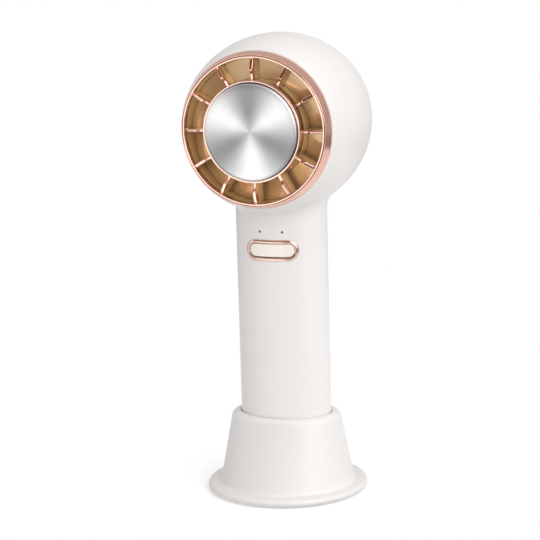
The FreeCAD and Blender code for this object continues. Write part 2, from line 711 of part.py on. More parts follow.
def impeller():
    """Hub cup with seven broad blades that overlap a little."""
    t = 0.7
    front = HUB_CAP_FRONT
    hub = turned((0, front - 0.8), ((HUB_CAP_R * 0.5, front - 0.5), (HUB_CAP_R - 1.6, front)),
                 ((HUB_CAP_R - 0.45, front + 0.45), (HUB_CAP_R, front + 1.6)),
                 (HUB_CAP_R, HUB_CAP_BACK), (HUB_CAP_R - t + 0.05, HUB_CAP_BACK),
                 (HUB_CAP_R - t + 0.05, front + 1.6), (0, front + 1.6))
    root = sweep_curve(HUB_CAP_R - 0.3, -21, 21, HUB_CAP_FRONT + 1.8, HUB_CAP_BACK - 2.0, -0.9)
    tip = sweep_curve(BLADE_TIP, -17, 33, HUB_CAP_FRONT + 3.0, HUB_CAP_BACK - 4.2, -0.6)
    blade = ruled_slab(root, tip, BLADE_T).common(disc(BLADE_TIP, -30, 30))
    body = hub.multiFuse(array_round_head(blade, BLADES))
    return body.cut(disc(SHAFT_R + 0.02, front, front + 3))


def rotor_cup():
    """Drawn steel cup inside the impeller hub."""
    front = HUB_CAP_FRONT + 1.65
    back = HUB_CAP_BACK - 0.3
    cup = turned((SHAFT_R + 0.02, front), (CUP_OUT, front), (CUP_OUT, back), (CUP_IN, back),
                 (CUP_IN, front + CUP_T), (SHAFT_R + 0.02, front + CUP_T))
    return cup


def magnet_ring():
    return ring(MAGNET_IN, CUP_IN - 0.03, STATOR_FRONT - 1.6, HUB_CAP_BACK - 0.5)


def motor_shaft():
    """Steel shaft from the impeller hub to the clip behind the rear bearing."""
    start = HUB_CAP_FRONT + 0.4
    end = MOUNT_Y + MOUNT_T + 1.6
    clip = MOUNT_Y + MOUNT_T + 0.6
    return turned((0, start), (SHAFT_R, start), (SHAFT_R, clip), (SHAFT_R - 0.3, clip),
                  (SHAFT_R - 0.3, clip + 0.5), (SHAFT_R, clip + 0.5), (SHAFT_R, end), (0, end))


def shaft_clip():
    """Retaining clip in the groove of the shaft."""
    y0 = MOUNT_Y + MOUNT_T + 0.65
    body = ring(SHAFT_R - 0.28, SHAFT_R + 1.1, y0, y0 + 0.4)
    mouth = block(-0.6, 0.6, y0 - 1, y0 + 1, HEAD_Z, HEAD_Z + 4)
    return body.cut(mouth)


# ================================================================ button and indicators
def on_front(outline, out, inwards):
    """Part of an upright outline that lies between two offsets of the handle's surface."""
    z0, z1 = KEY_Z - 10, KEY_Z + 14
    return outline.common(handle_oval(out, z0, z1)).cut(handle_oval(-inwards, z0, z1))


def front_pill(width, height):
    return pill(width, height, -HANDLE_B - 2, -HANDLE_B / 3, KEY_Z)


def lies_at(out):
    """Edge test: every point of it is this far outside the handle's oval."""
    def test(edge):
        return all(abs((p.x / (HANDLE_A + out)) ** 2 + (p.y / (HANDLE_B + out)) ** 2 - 1) < 0.002
                   for p in edge.discretize(5))
    return test


def pivot_pin(r, reach):
    y = -HANDLE_B + PIVOT_DEPTH
    return Part.makeCylinder(r, 2 * reach, V(0, y, KEY_Z - reach), Z_AXIS)


def frame_skirt():
    """Outer width and height of the part of the surround that passes the wall."""
    return KEY_W + 2 * FRAME_SKIRT_T, KEY_H + 2 * FRAME_SKIRT_T


def button_frame():
    """Plated surround: a lip on the surface and a skirt through the wall."""
    lip = on_front(front_pill(FRAME_W, FRAME_H), FRAME_PROUD, -0.05)
    lip = fillet_where(lip, FRAME_ROUND, lies_at(FRAME_PROUD))
    skirt = on_front(front_pill(*frame_skirt()), FRAME_PROUD / 2, WALL + 0.8)
    body = join([lip, skirt]).cut(front_pill(KEY_W, KEY_H))
    return body.cut(pivot_pin(PIVOT_R + RUN, KEY_H / 2 + 0.7))


def button_key():
    """Rocking key with a pivot pin across it and a post over each switch."""
    cap = on_front(front_pill(KEY_W - 2 * KEY_GAP, KEY_H - 2 * KEY_GAP), KEY_PROUD,
                   KEY_T - KEY_PROUD)
    cap = fillet_where(cap, KEY_ROUND, lies_at(KEY_PROUD))
    posts = []
    for side in (-1, 1):
        posts.append(rod(1.0, side * KEY_POST_X, -HANDLE_B + KEY_T / 2, key_post_end(), KEY_Z))
    return join([cap, pivot_pin(PIVOT_R, KEY_H / 2 + 0.6)] + posts)


def key_post_end():
    return PCB_BACK - PCB_T - SWITCH_T - 0.9 - 0.35


def tact_switches():
    """Two square switches on the board, each with a round plunger."""
    front = PCB_BACK - PCB_T
    half = SWITCH_SIDE / 2
    pair = []
    for side in (-1, 1):
        x = side * KEY_POST_X
        body = block(x - half, x + half, front - SWITCH_T, front, KEY_Z - half, KEY_Z + half)
        pair.append(body.fuse(rod(1.1, x, front - SWITCH_T - 0.9, front - 0.5, KEY_Z)))
    return Part.makeCompound(pair)


def indicator_lenses():
    """Two light pipes, each with a collar behind the wall."""
    pair = []
    for side in (-1, 1):
        x = side * LAMP_X
        surface = -HANDLE_B * math.sqrt(1 - (x / HANDLE_A) ** 2)
        inner = -(HANDLE_B - WALL) * math.sqrt(1 - ((abs(x) + 1.1) / (HANDLE_A - WALL)) ** 2)
        pin = rod(LAMP_R, x, surface + 0.25, PCB_BACK - PCB_T - 1.0, LAMP_Z)
        collar = rod(1.1, x, inner + SLIP, inner + SLIP + 0.8, LAMP_Z)
        pair.append(pin.fuse(collar))
    return Part.makeCompound(pair)


def indicator_leds():
    front = PCB_BACK - PCB_T
    return Part.makeCompound([block(side * LAMP_X - 0.8, side * LAMP_X + 0.8, front - 0.8, front,
                                    LAMP_Z - 0.5, LAMP_Z + 0.5) for side in (-1, 1)])


def main_board():
    z0 = KEY_Z - PCB_H / 2 + 1.5
    board = block(-HANDLE_A, HANDLE_A, PCB_BACK - PCB_T, PCB_BACK, z0, z0 + PCB_H)
    half_w = CELL_R + FIT + RAIL_T - 0.3
    return board.common(block(-half_w, half_w, -HANDLE_B, 0, z0, z0 + PCB_H)).common(
        inside_oval(FIT, z0, z0 + PCB_H))


# ================================================================ handle inside
def inside_oval(play, z0, z1):
    return handle_oval(-WALL - play, z0, z1)


def cell_cylinder(r, z0, z1):
    return Part.makeCylinder(r, z1 - z0, V(0, CELL_Y, z0), Z_AXIS)


def battery_cell():
    """Lithium cell with a rolled edge and a raised positive button."""
    can = cell_cylinder(CELL_R, CELL_Z, CELL_Z + CELL_L - 0.5)
    can = can.makeFillet(0.8, [edge for edge in can.Edges if edge.BoundBox.ZLength < 0.01])
    button = cell_cylinder(3.2, CELL_Z + CELL_L - 1, CELL_Z + CELL_L)
    return can.fuse(button).removeSplitter()


def cell_tabs():
    """Nickel strips welded to both ends of the cell."""
    pair = []
    for z0 in (CELL_Z - 0.25, CELL_Z + CELL_L + 0.05):
        pair.append(block(-3, 3, CELL_Y - CELL_R + 1, CELL_Y + 4, z0, z0 + 0.2))
    return Part.makeCompound(pair)


def cell_pad():
    """Foam strip between the cell and the rear wall of the handle."""
    half = 4.0
    strip = block(-half, half, CELL_Y, HANDLE_B, CELL_Z + 8, CELL_Z + CELL_L - 8)
    strip = strip.common(inside_oval(SLIP, CELL_Z, CELL_Z + CELL_L))
    return strip.cut(cell_cylinder(CELL_R + SLIP, CELL_Z, CELL_Z + CELL_L))


def chassis():
    """Inner frame: foot, two rails, end stops for the cell and a shelf for the port."""
    top = CELL_Z + CELL_L + 3.0
    envelope = inside_oval(FIT, PLATE_Z, top)
    rail_in = CELL_R + FIT
    front = PCB_BACK + SLIP
    pieces = [block(-HANDLE_A, HANDLE_A, -HANDLE_B, HANDLE_B, PLATE_Z, PLATE_Z + 2.0)]
    for side in (-1, 1):
        x0, x1 = sorted((side * rail_in, side * (rail_in + RAIL_T)))
        pieces.append(block(x0, x1, front, HANDLE_B, PLATE_Z, top))
        pieces.append(Part.makeCylinder(2.6, 7.0, V(side * CAP_SCREW_X, 0, PLATE_Z), Z_AXIS))
    for z0 in (CELL_Z - 2.3, top - 2.5):
        pieces.append(block(-rail_in - 1, rail_in + 1, front, HANDLE_B, z0, z0 + 2.0))
    shelf_top = USB_Z - USB_H / 2 - 1.0
    pieces.append(block(-rail_in - 1, rail_in + 1, 0, HANDLE_B - WALL - 2, shelf_top - 1.5,
                        shelf_top))
    frame = join([piece.common(envelope) for piece in pieces])
    cuts = []
    for side in (-1, 1):
        cuts.append(Part.makeCylinder(SCREW_R + THREAD, 12, V(side * CAP_SCREW_X, 0, PLATE_Z - 1),
                                      Z_AXIS))
    cuts.append(block(-5, 5, -6, 6, PLATE_Z - 1, PLATE_Z + 3))
    cuts.append(block(-4, 4, front - 1, front + 4, CELL_Z - 3, CELL_Z - 0.1))
    return frame.cut(Part.makeCompound(cuts))


def usb_board():
    z1 = USB_Z - USB_H / 2
    half = CELL_R - 1.2
    board = block(-half, half, 1.0, HANDLE_B, z1 - 1.0, z1)
    return board.common(inside_oval(FIT, z1 - 2, z1 + 1))


def usb_port():
    """Charging socket: a steel sleeve with a contact tongue in it."""
    mouth = HANDLE_B - 0.6
    back = mouth - USB_L
    sleeve = pill(USB_W, USB_H, back, mouth, USB_Z)
    hollow = pill(USB_W - 0.6, USB_H - 0.6, back + 1.0, mouth + 1, USB_Z)
    tongue = block(-3.3, 3.3, back + 0.5, mouth - 0.8, USB_Z - 0.35, USB_Z + 0.35)
    return sleeve.cut(hollow).fuse(tongue).removeSplitter()


def bottom_cap():
    """Plug in the lower end of the sleeve, with sunk screw heads."""
    plate = inside_oval(SLIP, HANDLE_END, HANDLE_END + CAP_T)
    rim = inside_oval(SLIP, HANDLE_END + CAP_T - 0.1, PLATE_Z).cut(
        inside_oval(SLIP + 1.5, HANDLE_END + CAP_T - 0.2, PLATE_Z + 1))
    pieces = [plate, rim]
    cuts = []
    for side in (-1, 1):
        at = V(side * CAP_SCREW_X, 0, HANDLE_END)
        pieces.append(Part.makeCylinder(2.8, PLATE_Z - HANDLE_END, at, Z_AXIS))
        cuts.append(Part.makeCylinder(2.0, 1.5, at, Z_AXIS))
        cuts.append(Part.makeCylinder(SCREW_R + THREAD, 10, at, Z_AXIS))
    return join(pieces).cut(Part.makeCompound(cuts))


# ================================================================ base
def cone_solid(inset, z0, z1):
    """Oval cone of the base, shrunk by `inset`, cut off between two heights."""
    def section(z):
        t = (z - CONE_FOOT) / (CONE_TOP - CONE_FOOT)
        half_w = CONE_A0 + (CONE_A1 - CONE_A0) * t - inset
        half_d = CONE_B0 + (CONE_B1 - CONE_B0) * t - inset
        curve = Part.Ellipse(V(half_w, 0, z), V(0, half_d, z), V(0, 0, z))
        return Part.Wire(curve.toShape())
    return Part.makeLoft([section(z0), section(z1)], True, True)


def base_flange():
    r = BASE_FLANGE_T / 2
    z0 = BASE_LIFT
    z1 = CONE_FOOT
    return turned_upright((0, z0), (BASE_R - r, z0), ((BASE_R, z0 + r), (BASE_R - r, z1)),
                          (0, z1))


def stand_shell():
    """Flared base with an oval socket, hollow and ribbed underneath."""
    cone = cone_solid(0, CONE_FOOT - 0.5, CONE_TOP)
    body = cone.fuse(base_flange())
    body = fillet_where(body, LIP_R, level_near(CONE_TOP, CONE_A1))
    body = fillet_where(body, 1.2, level_near(CONE_FOOT, CONE_A0))
    socket = oval(SOCKET_A, SOCKET_B, SOCKET_FLOOR, CONE_TOP + 1)
    body = body.cut(socket)
    body = fillet_where(body, 0.45, level_near(CONE_TOP, SOCKET_A))
    core = oval(SOCKET_A + BASE_WALL, SOCKET_B + BASE_WALL, 0, CONE_TOP)
    core = core.cut(oval(SOCKET_A + 1, SOCKET_B + 1, -1, SOCKET_FLOOR - SOCKET_FLOOR_T))
    roof = CONE_TOP - LIP_R - 2.0
    room = cone_solid(BASE_WALL, CONE_FOOT - 1.0, roof).cut(core)
    ribs = []
    for i in range(BASE_RIBS):
        rib = block(SOCKET_B, BASE_R, -0.6, 0.6, 0, CONE_TOP)
        rib.rotate(V(0, 0, 0), Z_AXIS, 360.0 / BASE_RIBS * (i + 0.5))
        ribs.append(rib)
    room = room.cut(Part.makeCompound(ribs))
    tray = turned_upright((0, 0), (BASE_PLATE_R + SLIP, 0), (BASE_PLATE_R + SLIP, tray_top()),
                          (0, tray_top()))
    return body.cut(room).cut(tray)


def tray_top():
    return BASE_LIFT + BASE_PLATE_T + SLIP


def stand_plate():
    """Disc that closes the underside, with a groove for the foot ring."""
    z0 = BASE_LIFT
    groove = FOOT_T
    return turned_upright((0, z0), (PAD_IN - SLIP, z0), (PAD_IN - SLIP, groove),
                          (PAD_OUT + SLIP, groove), (PAD_OUT + SLIP, z0), (BASE_PLATE_R, z0),
                          (BASE_PLATE_R, z0 + BASE_PLATE_T), (0, z0 + BASE_PLATE_T))


def foot_ring():
    """Silicone ring that the base stands on."""
    return turned_upright((PAD_IN, 0), (PAD_OUT, 0), (PAD_OUT, FOOT_T), (PAD_IN, FOOT_T))


# ================================================================ build
NODES = [main_housing, rear_cover, trim_ring, front_grille, flow_guide, fan_duct,
         cold_plate, thermal_pads, peltier_module, foam_ring, plate_frame, heat_sink,
         sink_screws, motor_mount, motor_screws, bearing_front, bearing_rear, stator_core,
         stator_coils, motor_board, impeller, rotor_cup, magnet_ring, motor_shaft, shaft_clip,
         button_frame, button_key, tact_switches, indicator_lenses, indicator_leds, main_board,
         battery_cell, cell_tabs, cell_pad, chassis, usb_board, usb_port, bottom_cap,
         cap_screws, stand_shell, stand_plate, foot_ring]

for node in NODES:
    shape = node()
    shape.exportStep("parts/" + node.__name__ + ".step")
    box = shape.BoundBox
    print(f"{node.__name__:18s} solids {len(shape.Solids):3d}  volume {shape.Volume:9.1f}  "
          f"x {box.XMin:6.1f} {box.XMax:6.1f}  y {box.YMin:6.1f} {box.YMax:6.1f}  "
          f"z {box.ZMin:6.1f} {box.ZMax:6.1f}  valid {shape.isValid()}")
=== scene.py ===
# %% [markdown]
# # A handheld fan with a cold plate
#
# The packed CAD model is the fixed frame of this lesson: every solid is already in place, at
# its real size, in metres.  Most of its skins are kept and only get a finish.  The outlet and
# the surround of the key, where light plays on thin plated edges, get new skins that are
# worked out as surfaces.

import json
import math

import bpy
import numpy as np
from mathutils import Matrix, Vector


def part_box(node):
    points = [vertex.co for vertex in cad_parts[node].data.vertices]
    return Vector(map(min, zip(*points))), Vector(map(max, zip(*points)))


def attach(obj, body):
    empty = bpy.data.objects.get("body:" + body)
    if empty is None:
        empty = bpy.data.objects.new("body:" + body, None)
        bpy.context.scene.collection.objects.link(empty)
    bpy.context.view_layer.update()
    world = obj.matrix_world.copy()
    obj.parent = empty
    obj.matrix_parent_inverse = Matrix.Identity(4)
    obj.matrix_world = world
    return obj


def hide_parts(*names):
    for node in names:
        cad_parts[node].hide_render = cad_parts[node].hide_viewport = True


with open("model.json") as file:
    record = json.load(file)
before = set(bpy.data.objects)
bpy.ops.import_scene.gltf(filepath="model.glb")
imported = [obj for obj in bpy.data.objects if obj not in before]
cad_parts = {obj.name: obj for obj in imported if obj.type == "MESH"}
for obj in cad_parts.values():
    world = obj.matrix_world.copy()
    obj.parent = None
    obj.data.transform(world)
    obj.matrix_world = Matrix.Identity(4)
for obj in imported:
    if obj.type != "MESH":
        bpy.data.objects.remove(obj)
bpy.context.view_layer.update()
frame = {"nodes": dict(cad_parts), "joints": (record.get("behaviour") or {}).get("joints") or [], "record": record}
nodes = frame["nodes"]
record = frame["record"]
MM = 0.001
print("CAD nodes:", len(nodes))

# %% [markdown]
# ## The camera
#
# The camera stands about 85 cm away with a long lens, to the right of the outlet's own axis
# and a little above it, and it is rolled by a degree and a half.  Three turns put it in
# place: the heading about Z, the pitch about its own X and the roll about its own view axis.

# %% Camera
CAMERA_DISTANCE = 0.8098
CAMERA_HEIGHT = 0.2571
CAMERA_SIDE = math.radians(19.08)      # how far round from the front it stands
CAMERA_HEADING = math.radians(19.48)
CAMERA_DOWN = math.radians(11.06)
CAMERA_ROLL = math.radians(-1.55)
LENS = 124.68                          # mm, on a sensor 36 mm wide


def add_camera():
    data = bpy.data.cameras.new("camera")
    data.sensor_width = 36.0
    data.lens = LENS
    camera = bpy.data.objects.new("camera", data)
    place = Vector((CAMERA_DISTANCE * math.sin(CAMERA_SIDE),
                    -CAMERA_DISTANCE * math.cos(CAMERA_SIDE), CAMERA_HEIGHT))
    camera.matrix_world = (Matrix.Translation(place)
                           @ Matrix.Rotation(CAMERA_HEADING, 4, "Z")
                           @ Matrix.Rotation(math.pi / 2 - CAMERA_DOWN, 4, "X")
                           @ Matrix.Rotation(CAMERA_ROLL, 4, "Z"))
    bpy.context.scene.collection.objects.link(camera)
    bpy.context.scene.camera = camera


add_camera()
print("camera at", tuple(round(v, 3) for v in bpy.context.scene.camera.location))

# %% [markdown]
# ## Measures
#
# New skins have to fit the solids that they stand for, so their sizes are read from the
# frame: the head's axis from the joint of the impeller, and radii and depths from the boxes
# of the nodes.  Only what a box can't tell, such as a rim's thickness, is written here.

# %% Measures of the outlet, in millimetres
spin = next(joint for joint in frame["joints"] if joint["name"] == "impeller_spin")
HEAD_Z = spin["pos_m"][2] / MM


def radius_of(node):
    low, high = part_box(node)
    return (high.x - low.x) / 2 / MM


def depth_of(node):
    """Front and back of a node along Y."""
    low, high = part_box(node)
    return low.y / MM, high.y / MM


BAND_R = radius_of("trim_ring")
BAND_FRONT, SKIRT_END = depth_of("trim_ring")
BAND_SEAT = depth_of("main_housing")[0] - 0.05
GRILLE_R = radius_of("front_grille")
HUB_FRONT, BAR_BACK = depth_of("front_grille")
RIM_T = 0.75                           # thickness of the outer rim
RIM_FRONT = BAND_FRONT - 0.1           # it stands a little ahead of the band
PLATE_R = radius_of("cold_plate")
PLATE_GAP = 0.35                       # from the plate to the inner rim
HUB_T = 0.85                           # thickness of the inner rim
HUB_R = PLATE_R + PLATE_GAP + HUB_T    # its outside
print(f"band {BAND_R:.2f}, grille {GRILLE_R:.2f}, hub {HUB_R:.2f}, plate {PLATE_R:.2f}")

# %% [markdown]
# ## Colours
#
# A shader works in linear light, but a colour is easier to name as a display shows it, with
# three numbers from 0 to 255.  One function turns the second into the first.

# %% Display colours
def linear(r, g, b):
    """Display colour, 0 to 255, as linear light."""
    c = np.array([r, g, b]) / 255.0
    low = c / 12.92
    high = ((c + 0.055) / 1.055) ** 2.4
    return tuple(float(v) for v in np.where(c <= 0.04045, low, high))


print("display grey 128 is", round(linear(128, 128, 128)[0], 3), "of white in linear light")

# %% [markdown]
# ## Recipes of shader nodes
#
# A finish is a tree of shader nodes.  The small class below adds nodes by their type and
# joins sockets by name, so that a recipe reads as a list of steps.

# %% Recipe
class Recipe:
    """A node tree with short ways to add nodes and to link them."""

    def __init__(self, tree):
        self.tree = tree

    def add(self, kind, sockets=None, **settings):
        """A node with its settings, and its input sockets by name or number."""
        node = self.tree.nodes.new("ShaderNode" + kind)
        for name, value in settings.items():
            setattr(node, name, value)
        for name, value in (sockets or {}).items():
            self.feed(value, node, name)
        return node

    def feed(self, value, node, name):
        """Puts a number on a socket, or links another node's output to it."""
        socket = node.inputs[name]
        if isinstance(value, bpy.types.Node):
            value = value.outputs[0]
        if isinstance(value, bpy.types.NodeSocket):
            self.tree.links.new(value, socket)
        elif hasattr(value, "__len__") and len(value) == 3 and socket.type == "RGBA":
            socket.default_value = (*value, 1.0)
        else:
            socket.default_value = value

    def math(self, operation, a, b=0.0, c=0.0, clamp=False):
        return self.add("Math", {0: a, 1: b, 2: c}, operation=operation,
                        use_clamp=clamp).outputs[0]

    def ramp_between(self, value, low, high, out_low=0.0, out_high=1.0):
        """Maps low..high of a value to two others, with soft ends."""
        return self.add("MapRange", {"Value": value, "From Min": low, "From Max": high,
                                     "To Min": out_low, "To Max": out_high},
                        interpolation_type="SMOOTHSTEP").outputs["Result"]

    def inside(self, value, rise, fall):
        """1 between two soft edges, each given as (from, to), and 0 outside them."""
        return self.math("MULTIPLY", self.ramp_between(value, *rise),
                         self.ramp_between(value, *fall, 1.0, 0.0))

    def between(self, share, a, b):
        """The number a + share (b - a)."""
        return self.math("MULTIPLY_ADD", share, self.math("SUBTRACT", b, a), a)

    def blend(self, amount, a, b):
        """Colour between a and b."""
        return self.add("Mix", {0: amount, 6: a, 7: b}, data_type="RGBA").outputs[2]

    def place(self):
        """The point's own coordinates on its object, in metres."""
        return self.add("TexCoord").outputs["Object"]

    def noise(self, scale, detail=3.0, rough=0.5):
        return self.add("TexNoise", {"Vector": self.place(), "Scale": scale,
                                     "Detail": detail, "Roughness": rough}).outputs[0]

    def bump(self, height, strength, distance):
        return self.add("Bump", {"Height": height, "Strength": strength,
                                 "Distance": distance}).outputs[0]


print("a recipe has", sum(not step.startswith("_") for step in vars(Recipe)), "kinds of step")

# %% [markdown]
# ## Finishes
#
# A finish is a recipe that ends in one principled shader.  Every number that is the same all
# over a surface goes straight on the shader's own socket; only what varies from place to
# place comes in through a link.

# %% Finish
class Finish(Recipe):
    """A material with one principled shader; keyword sockets are constants on it."""

    def __init__(self, name, sockets):
        self.material = bpy.data.materials.new(name)
        self.material.use_nodes = True
        super().__init__(self.material.node_tree)
        self.tree.nodes.clear()
        self.skin = self.add("BsdfPrincipled", sockets)
        out = self.add("OutputMaterial")
        self.tree.links.new(self.skin.outputs[0], out.inputs["Surface"])

    def paint(self, **links):
        """Links outputs to Base_Color, Roughness or Normal of the shader."""
        for name, value in links.items():
            self.feed(value, self.skin, name.replace("_", " "))
        return self.material


print("and a finish", sum(not step.startswith("_") for step in vars(Finish)), "more")

# %% [markdown]
# ## Effects as node groups
#
# An effect that comes back in several finishes is built once, as a group of nodes with named
# inputs and outputs, and each finish places it with its own values.

# %% Group tools
def new_group(name, inputs, outputs):
    """An empty group with sockets, the recipe that fills it, and its two ends."""
    group = bpy.data.node_groups.new(name, "ShaderNodeTree")
    for label, kind, value in inputs:
        socket = group.interface.new_socket(label, in_out="INPUT", socket_type=kind)
        socket.default_value = value
    for label, kind in outputs:
        group.interface.new_socket(label, in_out="OUTPUT", socket_type=kind)
    recipe = Recipe(group)
    start = group.nodes.new("NodeGroupInput")
    end = group.nodes.new("NodeGroupOutput")
    return group, recipe, start, end


def use_group(recipe, group, **values):
    """Places a group in a recipe, with numbers on its inputs."""
    node = recipe.add("Group", node_tree=group)
    for name, value in values.items():
        recipe.feed(value, node, name)
    return node


print("groups so far:", len(bpy.data.node_groups))

# %% [markdown]
# ## Grain and handling
#
# `moulded grain` is the faint texture that a spark-eroded mould leaves on plastic.
# `handling` gives the gloss of a thing that is held: soft, broad smudges between two levels
# of roughness.  Both are plain noise, the first many times finer than the second.

# %% Surface groups
def grain_group():
    group, recipe, start, end = new_group(
        "moulded grain",
        [("Scale", "NodeSocketFloat", 3000.0), ("Depth", "NodeSocketFloat", 0.00001)],
        [("Normal", "NodeSocketVector")])
    fine = recipe.noise(start.outputs["Scale"], 2.0, 0.6)
    recipe.feed(recipe.bump(fine, 0.6, start.outputs["Depth"]), end, "Normal")
    return group


def handling_group():
    group, recipe, start, end = new_group(
        "handling",
        [("Low", "NodeSocketFloat", 0.3), ("High", "NodeSocketFloat", 0.4),
         ("Scale", "NodeSocketFloat", 60.0)],
        [("Roughness", "NodeSocketFloat")])
    smudge = recipe.ramp_between(recipe.noise(start.outputs["Scale"], 4.0, 0.55), 0.3, 0.7)
    rough = recipe.between(smudge, start.outputs["Low"], start.outputs["High"])
    recipe.feed(rough, end, "Roughness")
    return group


GRAIN = grain_group()
HANDLING = handling_group()
print("groups:", [group.name for group in bpy.data.node_groups])

# %% [markdown]
# ## Plastics and rubber
#
# The shell is injection moulded in a warm white with a satin skin.  Real mouldings are never
# one flat colour: the tone drifts a little where the melt cooled at another pace, the skin
# carries the fine grain of the mould, and gloss varies where hands have polished it.  One
# recipe serves all mouldings, with other numbers for each.

# %% Moulded finishes
def moulded(name, colour, rough, drift=0.03, grain=2600.0, depth=0.000012, **constants):
    """Plastic: colour times a slow drift, gloss by handling, normal by mould grain."""
    finish = Finish(name, constants)
    tone = finish.ramp_between(finish.noise(38.0), 0.3, 0.7)
    dark = tuple(c * (1 - drift) for c in colour)
    wear = use_group(finish, HANDLING, Low=rough - 0.04, High=rough + 0.05, Scale=55.0)
    skin = use_group(finish, GRAIN, Scale=grain, Depth=depth)
    return finish.paint(Base_Color=finish.blend(tone, dark, colour),
                        Roughness=wear.outputs["Roughness"], Normal=skin.outputs["Normal"])


def foam(name, colour):
    """Closed cells of about half a millimetre, with painted shade in the hollows between them."""
    finish = Finish(name, {"Specular IOR Level": 0.2})
    cells = finish.add("TexVoronoi", {"Vector": finish.place(), "Scale": 1900.0})
    light = finish.ramp_between(cells.outputs["Distance"], 0.15, 0.6)
    # painted shade: the hollows get 45 per cent of the colour
    tone = finish.blend(light, tuple(c * 0.45 for c in colour), colour)
    rough = finish.ramp_between(light, 0.0, 1.0, 0.8, 0.95)
    return finish.paint(Base_Color=tone, Roughness=rough,
                        Normal=finish.bump(light, 0.8, 0.0001))


SATIN = {"Specular IOR Level": 0.5, "Coat Weight": 0.08, "Coat Roughness": 0.3}
finishes = {
    "shell_white": moulded("satin warm white", linear(240, 236, 234), 0.42, 0.02, **SATIN),
    "inner_white": moulded("plain white moulding", linear(226, 226, 223), 0.5, 0.04),
    "black_plastic": moulded("black moulding", linear(40, 40, 41), 0.45, 0.25, 1800.0, 0.00003),
    "switch_body": moulded("switch housing", linear(56, 56, 58), 0.5, 0.3, 3200.0),
    "silicone": moulded("soft silicone", linear(214, 212, 209), 0.62, 0.05, 1500.0, 0.00002,
                        **{"Subsurface Weight": 0.1, "Subsurface Scale": 0.001}),
    "thermal_pad": moulded("soft thermal pad", linear(168, 178, 190), 0.75, 0.1, 900.0, 0.00004),
    "ceramic": moulded("fired ceramic", linear(238, 238, 232), 0.55, 0.05, 4200.0, 0.00001),
    "foam": foam("closed cell foam", linear(84, 84, 86)),
}
print("moulded finishes:", len(finishes))

# %% [markdown]
# ## Plated metal
#
# The band, the grille and the surround of the key are vacuum plated in rose gold.  Plating on
# plastic is a true metal skin, so the shader is fully metallic, and all its character comes
# from what it mirrors.  A slow waviness of the moulding below keeps reflections from looking
# drawn with a ruler.

# %% Rose gold
def plated(name, colour, rough, wave=0.00003, **constants):
    """Metal colour with a little darker haze, wavy normals, and smudged gloss."""
    finish = Finish(name, {"Metallic": 1.0, **constants})
    haze = finish.ramp_between(finish.noise(120.0), 0.35, 0.75)
    tone = finish.blend(haze, colour, tuple(c * 0.93 for c in colour))
    wear = use_group(finish, HANDLING, Low=rough, High=rough + 0.05, Scale=90.0)
    return finish.paint(Base_Color=tone, Roughness=wear.outputs["Roughness"],
                        Normal=finish.bump(finish.noise(70.0, 1.0), 0.35, wave))


finishes["rose_gold"] = plated("polished rose gold", (0.84, 0.495, 0.39), 0.10)
print("rose gold done")

# %% [markdown]
# ## Metallic paint
#
# The guide behind the grille is painted bronze, and the key a pearly cream: fine flakes in a
# glossy lacquer, which shows more of its own colour and less of the room than plating does.
# In the corners of the bronze cells the tone is darker: painted shade, found where the mesh shades itself.

# %% Bronze and cream
CORNER_SHADE_REACH = 0.0007                  # metres over which a corner counts as one


def lacquered(name, colour, fleck, rough, painted_corner_shade=0.0, **constants):
    """Metallic paint: fine flecks lighter than the base, and a share `painted_corner_shade` of painted
    shade, a dark tone in corners, which are found as the places where the mesh shades itself."""
    finish = Finish(name, constants)
    cells = finish.add("TexVoronoi", {"Vector": finish.place(), "Scale": 6500.0})
    spark = finish.ramp_between(cells.outputs["Color"], 0.35, 0.9)
    slow = finish.ramp_between(finish.noise(90.0, 2.0), 0.3, 0.7, 0.0, 0.25)
    amount = finish.math("MULTIPLY_ADD", spark, 0.4, slow)
    wear = use_group(finish, HANDLING, Low=rough - 0.03, High=rough + 0.04, Scale=70.0)
    tone = finish.blend(amount, colour, fleck)
    # painted shade: corners that ambient occlusion finds get a darker tone
    if painted_corner_shade:
        open_share = finish.add("AmbientOcclusion", {"Distance": CORNER_SHADE_REACH}, samples=8,
                                only_local=True).outputs["AO"]
        corner = finish.ramp_between(open_share, 0.45, 0.85, painted_corner_shade, 0.0)
        tone = finish.blend(corner, tone, tuple(c * 0.3 for c in colour))
    return finish.paint(Base_Color=tone, Roughness=wear.outputs["Roughness"])


finishes["bronze"] = lacquered("bronze paint", (0.785, 0.565, 0.30), (0.845, 0.645, 0.375),
                               0.2, painted_corner_shade=0.8,
                               **{"Metallic": 0.3, "Coat Weight": 0.15,
                                  "Coat Roughness": 0.08})
finishes["key_cream"] = lacquered("pearl champagne", linear(252, 241, 230),
                                  linear(255, 250, 244), 0.26,
                                  **{"Metallic": 0.0, "Coat Weight": 0.35,
                                     "Coat Roughness": 0.08})
print("bronze and cream done")

# %% [markdown]
# ## The cold plate
#
# The plate is turned aluminium.  Each ring that the tool leaves acts as a tiny groove, so the
# surface is rough across the grooves and smooth along them, and a disc of such rings gathers
# light into sectors that run out from its centre.  The face of this plate shows three bright
# sectors and three dim ones.  Anisotropy about the disc's own axis gives the stretched gloss;
# the sectors are a painted reflection, a soft tone in the colour that goes round three times
# and flattens towards the centre.  Very fine rings ride on top, and they fade to the centre,
# where the tool's steps can't be seen.

# %% Turned aluminium
RING_PITCH = 0.32                      # mm from one ring of the tool to the next


def round_the_head(finish):
    """Millimetres from the head's axis, and the angle round it, clockwise from the top."""
    split = finish.add("SeparateXYZ", {"Vector": finish.place()})
    x = finish.math("MULTIPLY", split.outputs["X"], 1 / MM)
    up = finish.math("SUBTRACT", split.outputs["Z"], HEAD_Z * MM)
    z = finish.math("MULTIPLY", up, 1 / MM)
    square = finish.math("MULTIPLY_ADD", x, x, finish.math("MULTIPLY", z, z))
    return finish.math("SQRT", square), finish.math("ARCTAN2", x, z)


